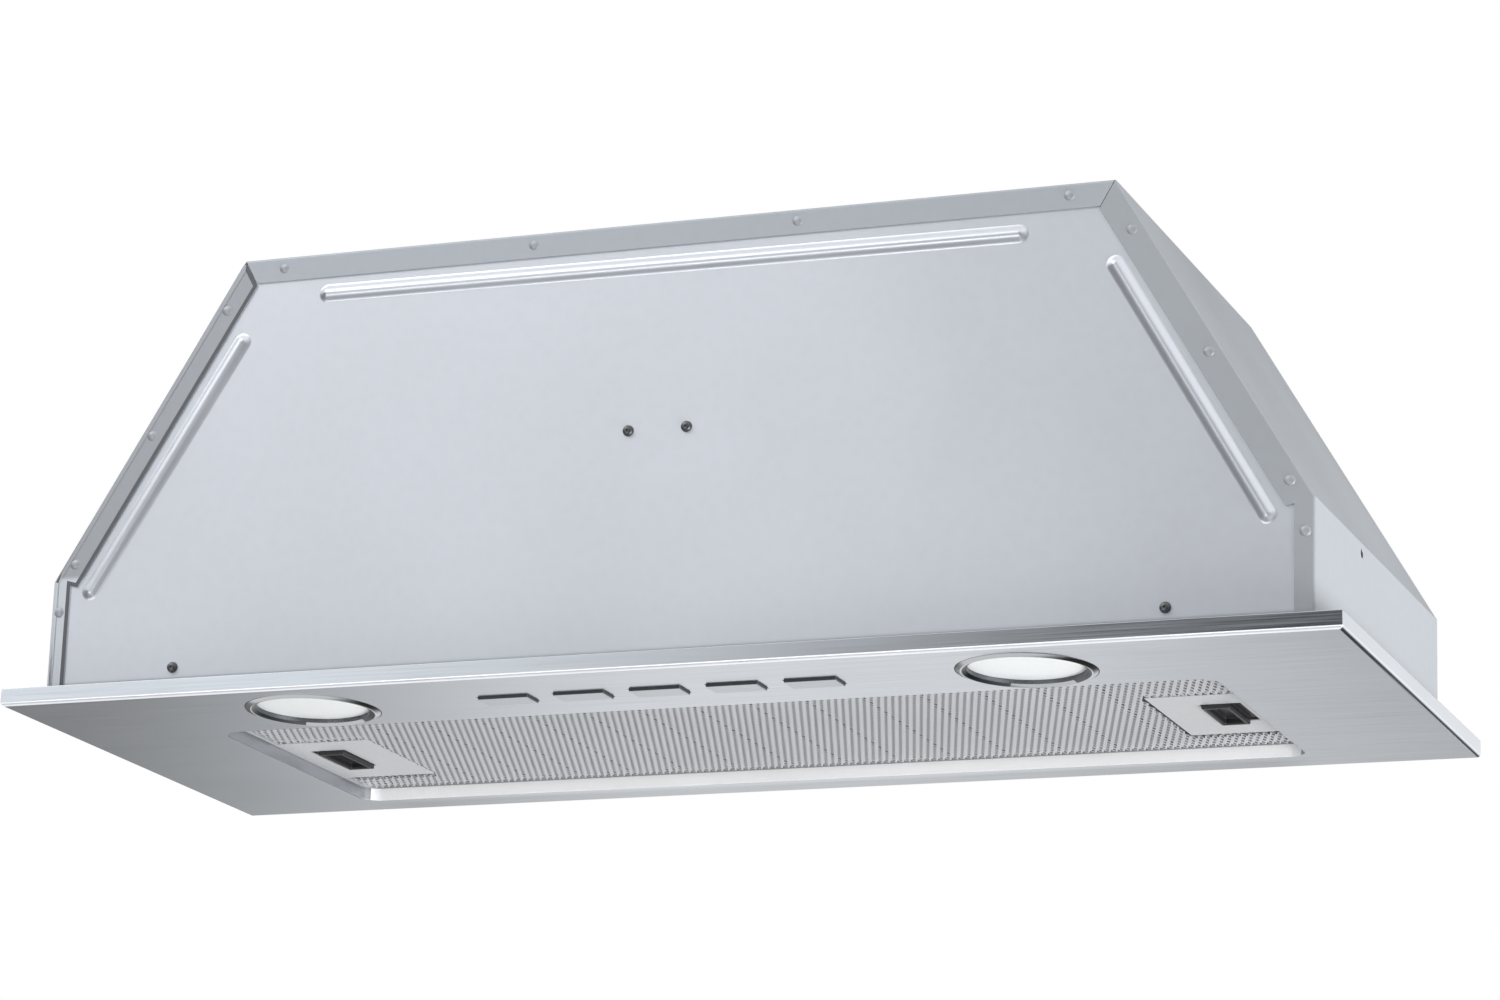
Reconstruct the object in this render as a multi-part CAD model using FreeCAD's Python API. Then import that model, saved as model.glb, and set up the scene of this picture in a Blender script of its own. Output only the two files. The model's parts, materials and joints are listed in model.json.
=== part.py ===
import FreeCAD, Part
import math
import os

from FreeCAD import Matrix, Placement, Rotation, Vector

# A built-in range hood that fills a 700 x 280 mm cut-out under a cupboard. Millimetres, X to the right,
# Y to the back, Z up. The parts are made with the cover plate's underside at zero, and then raised, so that
# the origin lies level with the faces of the buttons.

X = Vector(1, 0, 0)
Y = Vector(0, 1, 0)
Z = Vector(0, 0, 1)
SIDES = {"left": -1, "right": 1}

# Clearances shared by every piece
seat_gap = 0.3
seam_gap = 0.2
running_gap = 0.05
press_gap = 0.02
near = 0.01
overrun = 3.0

# Cover plate, a brushed steel tray with its rim turned up
plate_width = 700.0
plate_depth = 280.0
plate_sheet = 1.0
rim_height = 9.0
rim_bend = 2.0

# Casing of galvanised sheet
casing_sheet = 0.8
side_overhang = 17.0
front_overhang = 15.0
back_overhang = 21.0
fold_height = 68.0
casing_height = 233.0
side_inset = 99.0
wall_flange = 10.0
slant_flange = 14.0
top_flange = 13.0
casing_bend = 1.4
wall_foot = 12.0
side_hole_radius = 2.25
side_hole_inset = 88.0
side_hole_z = 63.0

# Stiffening ribs pressed into the front and back panels
rib_width = 8.5
rib_rise = 2.0
rib_margin = 22.5
top_rib_margin = 46.5
slant_rib_low = 4.0
slant_rib_high = 157.0

# Rivets that hold the flanges to the panels
rivet_head_radius = 2.6
rivet_head = 1.0
rivet_inset = 6.0
wall_rivet_inset = 4.6
wall_rivet_z = 51.5
top_rivet_shares = [-0.902, -0.303, 0.303, 0.902]
slant_rivet_shares = [0.07, 0.47, 0.86]

# Screws
screw_head_radius = 3.6
screw_head = 2.2
front_screw_share = 0.3057
back_screw_inset = 33.0
panel_screw_z = 19.0
blower_screw_x = 15.5

# Brackets that stand on the cover plate and take the panels' lower screws
bracket_sheet = 1.5
bracket_width = 24.0
bracket_height = 30.0
bracket_foot = 18.0

# Filter opening in the cover plate, with its edge turned up and in again
opening_side_inset = 83.5
opening_front_inset = 82.0
opening_back_inset = 24.0
opening_corner = 10.0
opening_wall = 17.0
opening_lip = 5.0

# Grease filter
filter_gap = 0.6
filter_corner = 9.4
filter_recess = 6.5
filter_sheet = 0.6
filter_depth = 9.4
mesh_margin = 7.0
mesh_columns = 16
mesh_rows = 7
mesh_strand = 4.0
pad_folds = 14
pad_sheet = 0.9
back_sheet = 0.8
back_slot_columns = 6
back_slot_width = 40.0
back_slot_bridge = 10.0

# Latch at each end of the filter
latch_plate_width = 53.5
latch_plate_back_inset = 27.4
latch_plate_length = 84.0
latch_plate_sheet = 1.0
latch_plate_lap = 3.0
pull_inset = 22.4
pull_front_inset = 38.5
pull_width = 15.0
pull_length = 38.0
pull_height = 5.0
pull_corner = 3.0
pull_web = 2.4
carrier_length = 50.0
carrier_width = 30.0
carrier_sheet = 1.5
tongue_width = 24.0
latch_travel = 4.5
spring_sheet = 0.5
spring_width = 10.0
spring_bow = 4.0
spring_foot = 1.5

# Lamps, in one row with the push buttons
row_centre_x = -5.5
lamp_spacing = 379.0
lamp_inset = 45.0
bezel_radius = 34.3
bezel_lip = 4.8
bezel_proud = 1.2
bezel_recess = 4.0
bezel_height = 7.0
bezel_sheet = 1.0
glass_thickness = 1.8
reflector_radius = 25.0
reflector_sheet = 0.8
reflector_height = 28.0
ear_width = 14.0
ear_reach = 44.0
bulb_radius = 4.6
bulb_length = 15.0
bulb_base = 3.0
bulb_base_length = 5.0
holder_width = 18.0
holder_depth = 16.0
holder_height = 14.0

# Push buttons and the switch bank behind them
button_count = 5
button_pitch = 40.7
button_inset = 45.0
button_width = 27.0
button_depth = 14.0
button_gap = 0.5
button_height = 5.0
button_proud = 1.2
button_lip = 1.4
button_lip_height = 1.0
button_travel = 2.5
stem_width = 8.0
stem_depth = 5.0
stem_length = 13.0
bank_margin = 6.0
bank_depth = 22.0
bank_floor = 8.6
bank_height = 18.0
bank_foot = 5.0
terminal_width = 2.8
terminal_sheet = 0.8
terminal_length = 7.0

# Blower: a wheel with two inlets on a sideways shaft, in a scroll that blows upwards
throat_height = 45.7
blower_floor_gap = 28.5
blower_front_gap = 23.4
blower_back_gap = 39.4
wheel_width = 92.0
wheel_sheet = 1.2
blade_depth = 9.0
ring_lap = 1.5
blade_sheet = 0.7
blade_count = 20
blade_lead_degrees = 7.5
blade_bow_degrees = 1.6
hub_radius = 9.0
hub_length = 10.0
scroll_sheet = 1.0
scroll_gap = 8.0
scroll_growth = 11.0
scroll_width = 110.0
scroll_flange = 5.0
side_cut = 34.0
scroll_foot = 12.0
nose_offset = 18.0
inlet_lap = 11.0

# Motor and its three-armed bracket
shaft_radius = 4.0
shaft_nose = 6.0
motor_share = 0.5574
motor_length = 46.0
motor_start = 12.0
cap_share = 0.588
cap_length = 7.0
shaft_tail = 4.0
arm_width = 12.0
arm_sheet = 2.0
arm_lap = 18.0
arm_foot = 10.0

# Capacitor on the scroll's left side
capacitor_y = 20.0
capacitor_drop = 63.0
capacitor_width = 38.0
capacitor_height = 28.0
capacitor_depth = 18.0
capacitor_lug = 12.0
capacitor_lug_sheet = 2.0

# Bracket from the front panel to the scroll
blower_bracket_width = 56.0
blower_bracket_height = 30.0

# Air outlet on the top panel with its two draught flaps
outlet_radius = 59.5
outlet_wall = 1.4
outlet_height = 27.0
outlet_flange_radius = 69.0
outlet_flange_sheet = 2.0
flap_plane = 9.0
flap_sheet = 1.0
flap_gap = 1.2
flap_pin_radius = 1.5
knuckle_half = 2.1
knuckle_gap = 0.4
knuckle_shares = [-0.86, -0.3, 0.3, 0.86]
stop_width = 3.0
stop_height = 4.0

# Electrics on the back panel
terminal_box_x = 110.0
terminal_box_width = 80.0
terminal_box_depth = 38.0
terminal_box_height = 50.0
terminal_box_drop = 83.0
box_wall = 2.0
box_lid = 2.0
box_edge = 3.0
terminal_block_inset = 6.0
terminal_block_size = 12.0
transformer_x = -190.0
transformer_width = 100.0
transformer_depth = 40.0
transformer_height = 28.0
transformer_drop = 73.0
transformer_ear = 10.0
gland_x = 150.0
gland_inset = 21.4
gland_radius = 6.2
gland_bore = 3.7
gland_nut_radius = 10.0
gland_nut = 8.0
gland_tail = 6.0

# Places worked out from the sizes above
front_y = front_overhang - plate_depth / 2
back_y = plate_depth / 2 - back_overhang
wall_x = plate_width / 2 - side_overhang
top_x = wall_x - side_inset
top_inside = casing_height - casing_sheet
front_panel_y = front_y + casing_sheet
back_panel_y = back_y - casing_sheet
front_inside = front_panel_y + casing_sheet
back_inside = back_panel_y - casing_sheet
side_hole_y = front_y + side_hole_inset
top_rib_half = top_x - top_rib_margin
lamp_edge = abs(row_centre_x) + lamp_spacing / 2 + bezel_radius
front_screw_x = lamp_edge + (wall_x - lamp_edge) * front_screw_share
back_screw_x = wall_x - back_screw_inset
opening_x = plate_width / 2 - opening_side_inset
opening_front_y = opening_front_inset - plate_depth / 2
opening_back_y = plate_depth / 2 - opening_back_inset
filter_x = opening_x - filter_gap
filter_front_y = opening_front_y + filter_gap
filter_back_y = opening_back_y - filter_gap
filter_top = filter_recess + filter_depth
latch_plate_back_y = filter_back_y - latch_plate_back_inset
latch_plate_front_y = latch_plate_back_y - latch_plate_length
latch_y = latch_plate_front_y + pull_front_inset
pull_x = filter_x - pull_inset
lamp_y = lamp_inset - plate_depth / 2
button_y = button_inset - plate_depth / 2
latch_plate_z = filter_recess + filter_sheet
carrier_z = latch_plate_z + latch_plate_sheet + seat_gap
blower_height_room = top_inside - throat_height - opening_wall - blower_floor_gap - scroll_gap - scroll_growth
blower_depth_room = (back_inside - front_inside - blower_front_gap - blower_back_gap
                     - 2 * scroll_sheet - scroll_flange - 2 * scroll_gap - 3 * scroll_growth)
wheel_radius = min(blower_height_room, blower_depth_room) / 2
inlet_radius = wheel_radius - inlet_lap
motor_radius = wheel_radius * motor_share
cap_radius = motor_radius * cap_share
arm_reach = inlet_radius + arm_lap
scroll_start = wheel_radius + scroll_gap
shaft_y = front_inside + blower_front_gap + scroll_sheet + scroll_start
shaft_z = opening_wall + blower_floor_gap + scroll_start + scroll_growth
throat_front_y = shaft_y + nose_offset
throat_back_y = shaft_y + scroll_start + 3 * scroll_growth
outlet_y = (throat_front_y + throat_back_y) / 2
scroll_x = scroll_width / 2
capacitor_z = casing_height - capacitor_drop
terminal_box_z = casing_height - terminal_box_drop
gland_y = back_inside - gland_inset
transformer_z = casing_height - transformer_drop
reach = 2 * plate_width


def box(low, high):
    """Block between two corners."""
    size = [b - a for a, b in zip(low, high)]
    return Part.makeBox(*size, Vector(*low))


def rod(start, axis, radius, length):
    """Cylinder that starts at a point and runs along an axis."""
    return Part.makeCylinder(radius, length, Vector(*start), axis)


def tube(start, axis, outer, inner, length):
    """Straight round tube."""
    return rod(start, axis, outer, length).cut(rod(start, axis, inner, length))


def fused(shapes):
    """One solid from several that touch."""
    return shapes[0].fuse(shapes[1:]).removeSplitter()


def plate_of(points, normal, thickness):
    """Flat piece from the corners of its outline."""
    wire = Part.makePolygon([Vector(*p) for p in points + points[:1]])
    return Part.Face(wire).extrude(normal * thickness)


def turned(profile, centre):
    """Solid turned about Z from (radius, height) corners."""
    points = [Vector(r, 0, z) for r, z in profile]
    solid = Part.Face(Part.makePolygon(points + points[:1])).revolve(Vector(0, 0, 0), Z, 360)
    solid.translate(Vector(*centre))
    return solid


def ring_of_corners(radius, count):
    """Corners of a regular outline about zero, with a flat side towards each axis."""
    turns = [math.radians(360 / count * (i + 0.5)) for i in range(count)]
    return [(radius * math.cos(a), radius * math.sin(a)) for a in turns]


def head(x, y, z, direction, radius, height):
    """Eight-sided fastener head on a sheet, without its hidden shank."""
    return plate_of([(x + a, y, z + b) for a, b in ring_of_corners(radius, 8)], Y * direction, height)


def rounded_block(low, high, radius):
    """Block with its four upright edges rounded."""
    block = box(low, high)
    upright = [e for e in block.Edges if abs(e.tangentAt(e.FirstParameter).z) > 0.5]
    return block.makeFillet(radius, upright)


def edges_at(shape, axis, value):
    """Edges that lie wholly in the plane where the axis has the value."""
    return [e for e in shape.Edges
            if abs(e.BoundBox.Center.dot(axis) - value) < near
            and e.BoundBox.DiagonalLength > near
            and extent(e, axis) < near]


def extent(edge, axis):
    """Length of an edge's box along an axis."""
    bounds = edge.BoundBox
    return Vector(bounds.XLength, bounds.YLength, bounds.ZLength).dot(axis)


def mirrored(shape):
    """Copy on the other side of the hood's middle plane."""
    return shape.mirror(Vector(0, 0, 0), X)


def half_space(point, normal):
    """Very large block that fills the side of a plane that its normal points to."""
    block = box((-reach, -reach, 0), (reach, reach, reach))
    block.Placement = Placement(Vector(*point), Rotation(Z, normal))
    return block


# Casing


def casing_corners():
    """Outline of the casing seen from the front, counterclockwise from the lower right."""
    return [(wall_x, plate_sheet), (wall_x, fold_height), (top_x, casing_height),
            (-top_x, casing_height), (-wall_x, fold_height), (-wall_x, plate_sheet)]


def inset_outline(corners, distance):
    """Corners of a convex outline drawn in by a distance on all sides but the last."""
    count = len(corners)
    lines = []
    for i in range(count):
        a, b = Vector(*corners[i], 0), Vector(*corners[(i + 1) % count], 0)
        along = (b - a).normalize()
        inward = Vector(-along.y, along.x, 0)
        lines.append((a + inward * (distance if i < count - 1 else 0), along))
    result = []
    for i in range(count):
        p, d = lines[i - 1]
        q, e = lines[i]
        t = ((q - p).x * e.y - (q - p).y * e.x) / (d.x * e.y - d.y * e.x)
        hit = p + d * t
        result.append((hit.x, hit.y))
    return result


def channel(start, end, flange):
    """Length of wall with a flange turned in at its front and back, both bends rounded."""
    a, b = Vector(start[0], 0, start[1]), Vector(end[0], 0, end[1])
    along = (b - a).normalize()
    length = (b - a).Length
    inward = along.cross(Y)
    spare = 2 * max(slant_flange, wall_flange, top_flange)
    outer = box((-spare, front_y, 0), (length + spare, back_y, flange))
    inner = box((-spare, front_panel_y, casing_sheet),
                (length + spare, back_panel_y, flange + overrun))
    outer = outer.makeFillet(casing_bend, long_edges(outer, 0))
    inner = inner.makeFillet(casing_bend - casing_sheet, long_edges(inner, casing_sheet))
    piece = outer.cut(inner)
    turn = Matrix(along.x, 0, inward.x, a.x, 0, 1, 0, 0, along.z, 0, inward.z, a.z, 0, 0, 0, 1)
    piece.Placement = Placement(turn)
    return piece


def long_edges(shape, level):
    """Edges along X at one level of Z."""
    return [e for e in shape.Edges
            if e.BoundBox.XLength > e.BoundBox.YLength + e.BoundBox.ZLength
            and abs(e.BoundBox.Center.z - level) < near]


def mitre(corner, before, after):
    """Unit vector in the mitre plane's normal direction, from one run towards the next."""
    a = (Vector(corner[0] - before[0], 0, corner[1] - before[1])).normalize()
    b = (Vector(after[0] - corner[0], 0, after[1] - corner[1])).normalize()
    return (a + b).normalize()


def right_side_panel():
    """Upright wall and slanted wall in one bent sheet, with a foot on the cover plate."""
    low, fold, top, far = casing_corners()[:4]
    fold_normal = mitre(fold, low, top)
    top_normal = mitre(top, fold, far)
    fold_point = (fold[0], 0, fold[1])
    top_point = Vector(top[0], 0, top[1]) - top_normal * seam_gap
    upright = channel(low, fold, wall_flange)
    upright = upright.cut(half_space((0, 0, plate_sheet), -Z))
    upright = upright.cut(half_space(fold_point, fold_normal))
    slanted = channel(fold, top, slant_flange)
    slanted = slanted.cut(half_space(fold_point, -fold_normal))
    slanted = slanted.cut(half_space(top_point, top_normal))
    foot = box((wall_x - wall_foot, front_inside, plate_sheet),
               (wall_x - casing_sheet / 2, back_inside, plate_sheet + casing_sheet))
    panel = fused([upright, slanted, foot])
    hole = rod((wall_x - overrun, side_hole_y, side_hole_z), X, side_hole_radius, 2 * overrun)
    return panel.cut(hole)


def top_panel():
    """Flat top with front and back flanges, the outlet hole and the cable hole."""
    fold, top, far, far_fold = casing_corners()[1:5]
    panel = channel(top, far, top_flange)
    for corner, before, after in ((top, fold, far), (far, top, far_fold)):
        normal = mitre(corner, before, after)
        outward = -normal if corner == top else normal
        point = Vector(corner[0], 0, corner[1]) - outward * seam_gap
        panel = panel.cut(half_space(point, outward))
    low = top_inside - overrun
    outlet = rod((0, outlet_y, low), Z, outlet_radius - outlet_wall, 2 * overrun)
    cable = rod((gland_x, gland_y, low), Z, gland_radius + seat_gap, 2 * overrun)
    return panel.cut([outlet, cable])


def rivet_places():
    """Rivet centres seen from the front."""
    low, fold, top = casing_corners()[:3]
    places = [(top_x * share, casing_height - rivet_inset) for share in top_rivet_shares]
    along = Vector(top[0] - fold[0], top[1] - fold[1], 0)
    inward = Vector(-along.y, along.x, 0).normalize()
    for share in slant_rivet_shares:
        point = Vector(fold[0], fold[1], 0) + along * share + inward * rivet_inset
        places += [(point.x, point.y), (-point.x, point.y)]
    wall_rivet_x = wall_x - wall_rivet_inset
    return places + [(wall_rivet_x, wall_rivet_z), (-wall_rivet_x, wall_rivet_z)]


def rivets(face_y, outward):
    """Rivet heads on the flanges of one face."""
    return Part.makeCompound([head(x, face_y, z, outward, rivet_head_radius, rivet_head)
                              for x, z in rivet_places()])


def rib(start, end, sheet_y, outward):
    """Outer skin and hollow of one pressed rib, whose ends slope down to the sheet."""
    a, b = Vector(start[0], 0, start[1]), Vector(end[0], 0, end[1])
    along = (b - a).normalize()
    face = Y * outward
    radius = ((rib_width / 2) ** 2 + rib_rise ** 2) / (2 * rib_rise)
    shapes = []
    for depth in (0, casing_sheet):
        crown = Y * sheet_y + face * (rib_rise - radius)
        bar = Part.makeCylinder(radius - depth, (b - a).Length, a + crown, along)
        for tip, way in ((a, along), (b, -along)):
            foot = tip + Y * sheet_y + way * depth
            bar = bar.cut(half_space(foot, face - way))
        shapes.append(bar)
    return shapes


def rib_lines():
    """Middle lines of the three ribs seen from the front."""
    fold, top = casing_corners()[1:3]
    along = Vector(top[0] - fold[0], top[1] - fold[1], 0).normalize()
    inward = Vector(-along.y, along.x, 0)
    base = Vector(fold[0], fold[1], 0) + inward * rib_margin
    low = base + along * slant_rib_low
    high = base + along * slant_rib_high
    level = casing_height - rib_margin
    return [((-top_rib_half, level), (top_rib_half, level)),
            ((low.x, low.y), (high.x, high.y)),
            ((-low.x, low.y), (-high.x, high.y))]


def face_panel(outer_y, outward):
    """Front or back panel behind the flanges, ribbed, with its outer face at outer_y."""
    outline = inset_outline(casing_corners(), casing_bend + seam_gap)
    rear = outer_y if outward > 0 else outer_y + casing_sheet
    panel = plate_of([(x, rear, z) for x, z in outline], -Y, casing_sheet)
    skins, hollows = zip(*[rib(a, b, outer_y, outward) for a, b in rib_lines()])
    front = half_space((0, outer_y - outward * casing_sheet / 2, 0), Y * outward)
    panel = panel.fuse([skin.common(front) for skin in skins]).cut(list(hollows))
    return panel.removeSplitter()


def lamp_xs():
    """Middles of the left and right lamps."""
    return [row_centre_x + side * lamp_spacing / 2 for side in SIDES.values()]


def front_panel():
    """Front panel with a notch over each lamp dish."""
    panel = face_panel(front_panel_y, -1)
    notch_half = math.sqrt(bezel_radius ** 2 - (front_inside - lamp_y) ** 2) + 2 * seat_gap
    cuts = [box((x - notch_half, front_y - overrun, 0),
                (x + notch_half, front_inside + overrun, bezel_height + seat_gap))
            for x in lamp_xs()]
    return panel.cut(cuts)


def panel_screws():
    """Screw heads on the front and back panels."""
    places = [(side * front_screw_x, front_panel_y, panel_screw_z, -1) for side in SIDES.values()]
    places += [(side * blower_screw_x, front_panel_y, shaft_z, -1) for side in SIDES.values()]
    places += [(side * back_screw_x, back_panel_y, panel_screw_z, 1) for side in SIDES.values()]
    return Part.makeCompound([head(*place, screw_head_radius, screw_head) for place in places])


def panel_brackets():
    """Four angles that stand on the cover plate behind the front and back panels."""
    solids = []
    for face_y, screw_x, inward in ((front_inside, front_screw_x, 1), (back_inside, back_screw_x, -1)):
        solids += [panel_bracket(side * screw_x, face_y, inward) for side in SIDES.values()]
    return Part.makeCompound(solids)


def panel_bracket(x, face_y, inward):
    """One angle."""
    low, high = x - bracket_width / 2, x + bracket_width / 2
    leg_ys = sorted([face_y, face_y + inward * bracket_sheet])
    foot_ys = sorted([face_y, face_y + inward * bracket_foot])
    leg = box((low, leg_ys[0], plate_sheet), (high, leg_ys[1], plate_sheet + bracket_height))
    foot = box((low, foot_ys[0], plate_sheet), (high, foot_ys[1], plate_sheet + bracket_sheet))
    return fused([leg, foot])


# Cover plate


def opening_block(grow, low, high):
    """Block of the filter opening, grown by a wall, between two levels."""
    return rounded_block((-opening_x - grow, opening_front_y - grow, low),
                         (opening_x + grow, opening_back_y + grow, high), opening_corner + grow)


def cover_tray():
    """Sheet with its rim turned up."""
    half_x, half_y = plate_width / 2, plate_depth / 2
    outer = box((-half_x, -half_y, 0), (half_x, half_y, rim_height))
    outer = outer.makeFillet(rim_bend, edges_at(outer, Z, 0))
    inner = box((plate_sheet - half_x, plate_sheet - half_y, plate_sheet),
                (half_x - plate_sheet, half_y - plate_sheet, rim_height + overrun))
    inner = inner.makeFillet(rim_bend - plate_sheet, edges_at(inner, Z, plate_sheet))
    return outer.cut(inner)


def bottom_plate():
    """Cover plate with the filter opening, the lamp holes, the button holes and the latch slots."""
    collar = opening_block(plate_sheet, 0, opening_wall)
    mouth = opening_block(0, -overrun, opening_wall - plate_sheet)
    throat = opening_block(-opening_lip, -overrun, opening_wall + overrun)
    plate = fused([cover_tray(), collar]).cut([mouth, throat])
    cuts = [rod((x, lamp_y, -overrun), Z, bezel_radius + seat_gap, 3 * overrun) for x in lamp_xs()]
    cuts += [button_hole(x) for x in button_xs()]
    cuts += [latch_slot(s * opening_x) for s in SIDES.values()]
    return plate.cut(cuts)


def button_hole(x):
    """Hole in the cover plate for one button."""
    half_x = button_width / 2 + button_gap
    half_y = button_depth / 2 + button_gap
    return box((x - half_x, button_y - half_y, -overrun), (x + half_x, button_y + half_y, 2 * overrun))


def latch_slot(x):
    """Slot for a latch tongue through a wall near x."""
    half = tongue_width / 2 + filter_gap
    spare = overrun + plate_sheet
    return box((x - spare, latch_y - half, carrier_z - seat_gap),
               (x + spare, latch_y + half, carrier_z + carrier_sheet + seat_gap))


# Lamps


def lamp_bezel(x):
    """Dish with a lip that stands proud of the cover plate and a shoulder that closes it round the can."""
    lip_radius = bezel_radius - bezel_lip
    wall_radius = bezel_radius - bezel_sheet
    mouth_radius = reflector_radius - reflector_sheet
    profile = [(lip_radius, 0), (lip_radius + bezel_proud, -bezel_proud),
               (bezel_radius - bezel_proud, -bezel_proud), (bezel_radius, 0),
               (bezel_radius, bezel_height), (mouth_radius, bezel_height),
               (mouth_radius, bezel_height - bezel_sheet), (wall_radius, bezel_height - bezel_sheet),
               (wall_radius, bezel_recess), (lip_radius, bezel_recess)]
    return turned(profile, (x, lamp_y, 0))


def lamp_glass(x):
    """Flat glass that lies on the bezel's lip."""
    radius = bezel_radius - bezel_sheet - seat_gap
    return rod((x, lamp_y, bezel_recess), Z, radius, glass_thickness)


def lamp_reflector(x):
    """Can on the bezel's shoulder, slotted for the bulb, with an ear down to the cover plate on each side."""
    base = bezel_height
    top = base + reflector_height
    wall = reflector_sheet
    can = rod((x, lamp_y, base), Z, reflector_radius, reflector_height)
    half = ear_width / 2
    ears = []
    for side in SIDES.values():
        tab = sorted([x + side * (reflector_radius - wall), x + side * ear_reach])
        leg = sorted([x + side * (ear_reach - wall), x + side * ear_reach])
        ears.append(box((tab[0], lamp_y - half, base), (tab[1], lamp_y + half, base + wall)))
        ears.append(box((leg[0], lamp_y - half, plate_sheet), (leg[1], lamp_y + half, base + wall)))
    hollow = rod((x, lamp_y, base), Z, reflector_radius - wall, reflector_height - wall)
    half_slot = bulb_radius + seat_gap
    slot = box((x - half_slot, lamp_y - bulb_base, top - overrun),
               (x + half_slot, lamp_y + bulb_base, top + overrun))
    return fused([can] + ears).cut([hollow, slot])


def lamp_holder(x):
    """Ceramic block on the can's neck."""
    low = bezel_height + reflector_height
    half_x, half_y = holder_width / 2, holder_depth / 2
    return box((x - half_x, lamp_y - half_y, low), (x + half_x, lamp_y + half_y, low + holder_height))


def lamp_bulb(x):
    """Capsule bulb with its pinched base against the holder."""
    top = bezel_height + reflector_height
    tip = top - bulb_base_length - bulb_length
    capsule = rod((x, lamp_y, tip), Z, bulb_radius, bulb_length)
    base = box((x - bulb_radius, lamp_y - bulb_base / 2, top - bulb_base_length),
               (x + bulb_radius, lamp_y + bulb_base / 2, top))
    return fused([capsule, base])


# Buttons


def button_xs():
    """Middles of the buttons from left to right."""
    first = row_centre_x - button_pitch * (button_count - 1) / 2
    return [first + button_pitch * i for i in range(button_count)]


def button(x):
    """Cap, a lip that keeps it in and a stem that enters the switch."""
    half_x, half_y = button_width / 2, button_depth / 2
    cap = box((x - half_x, button_y - half_y, -button_proud), (x + half_x, button_y + half_y, button_height))
    lip_low = plate_sheet + seat_gap
    lip = box((x - half_x - button_lip, button_y - half_y - button_lip, lip_low),
              (x + half_x + button_lip, button_y + half_y + button_lip, lip_low + button_lip_height))
    stem = box((x - stem_width / 2, button_y - stem_depth / 2, button_height),
               (x + stem_width / 2, button_y + stem_depth / 2, button_height + stem_length))
    return fused([cap, lip, stem])


def switch_bank():
    """Row of latching switches in one moulding, on two feet, with solder terminals on top."""
    xs = button_xs()
    low_x = xs[0] - button_width / 2 - bank_margin
    high_x = xs[-1] + button_width / 2 + bank_margin
    low_y, high_y = button_y - bank_depth / 2, button_y + bank_depth / 2
    top = bank_floor + bank_height
    body = box((low_x, low_y, bank_floor), (high_x, high_y, top))
    feet = [box((low_x, low_y, plate_sheet), (low_x + bank_foot - button_lip, high_y, top)),
            box((high_x - bank_foot + button_lip, low_y, plate_sheet), (high_x, high_y, top))]
    pins = [terminal(x + side * button_width / 4, top) for x in xs for side in SIDES.values()]
    return fused([body] + feet + pins).cut([stem_socket(x) for x in xs])


def terminal(x, base):
    """Blade terminal on top of the switch bank."""
    half_x, half_y = terminal_width / 2, terminal_sheet / 2
    return box((x - half_x, button_y - half_y, base), (x + half_x, button_y + half_y, base + terminal_length))


def stem_socket(x):
    """Room for a button's stem at full travel."""
    half_x, half_y = stem_width / 2 + seat_gap, stem_depth / 2 + seat_gap
    high = button_height + stem_length + button_travel + seat_gap
    return box((x - half_x, button_y - half_y, bank_floor - overrun), (x + half_x, button_y + half_y, high))


# Filter


def filter_tray():
    """Grease filter's face and sides, with a grid of diamond holes and a window for each latch plate."""
    outer = rounded_block((-filter_x, filter_front_y, filter_recess),
                          (filter_x, filter_back_y, filter_top - back_sheet), filter_corner)
    inner = rounded_block((filter_sheet - filter_x, filter_front_y + filter_sheet, latch_plate_z),
                          (filter_x - filter_sheet, filter_back_y - filter_sheet, filter_top + overrun),
                          filter_corner - filter_sheet)
    tray = outer.cut(inner)
    windows = []
    for side in SIDES.values():
        ends = sorted([side * (filter_x - latch_plate_lap),
                       side * (filter_x - latch_plate_width + latch_plate_lap)])
        windows.append(box((ends[0], latch_plate_front_y + latch_plate_lap, filter_recess - overrun),
                           (ends[1], latch_plate_back_y - latch_plate_lap, latch_plate_z + overrun)))
    slots = [latch_slot(s * filter_x) for s in SIDES.values()]
    return tray.cut(windows + slots + mesh_holes())


def mesh_holes():
    """Diamond holes between the two latch plates."""
    low_x = latch_plate_width + mesh_margin - filter_x
    pitch_x = -2 * low_x / mesh_columns
    low_y = filter_front_y + mesh_margin
    pitch_y = (filter_back_y - mesh_margin - low_y) / mesh_rows
    half_x, half_y = (pitch_x - mesh_strand) / 2, (pitch_y - mesh_strand) / 2
    holes = []
    for column in range(mesh_columns):
        for row in range(mesh_rows):
            x = low_x + pitch_x * (column + 0.5)
            y = low_y + pitch_y * (row + 0.5)
            corners = [(x - half_x, y), (x, y - half_y), (x + half_x, y), (x, y + half_y)]
            holes.append(plate_of([(a, b, filter_recess - overrun) for a, b in corners], Z, 2 * overrun))
    return holes


def filter_pad():
    """Corrugated layer of expanded aluminium inside the tray, between the two latch plates."""
    half_x = filter_x - latch_plate_width - seat_gap
    low, high = latch_plate_z, filter_top - back_sheet - pad_sheet
    step = half_x / pad_folds
    line = [(-half_x + step * i, low if i % 2 else high) for i in range(2 * pad_folds + 1)]
    upper = [(x, z + pad_sheet) for x, z in reversed(line)]
    front = filter_front_y + filter_sheet + seat_gap
    back = filter_back_y - filter_sheet - seat_gap
    return plate_of([(x, front, z) for x, z in line + upper], Y, back - front)


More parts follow.
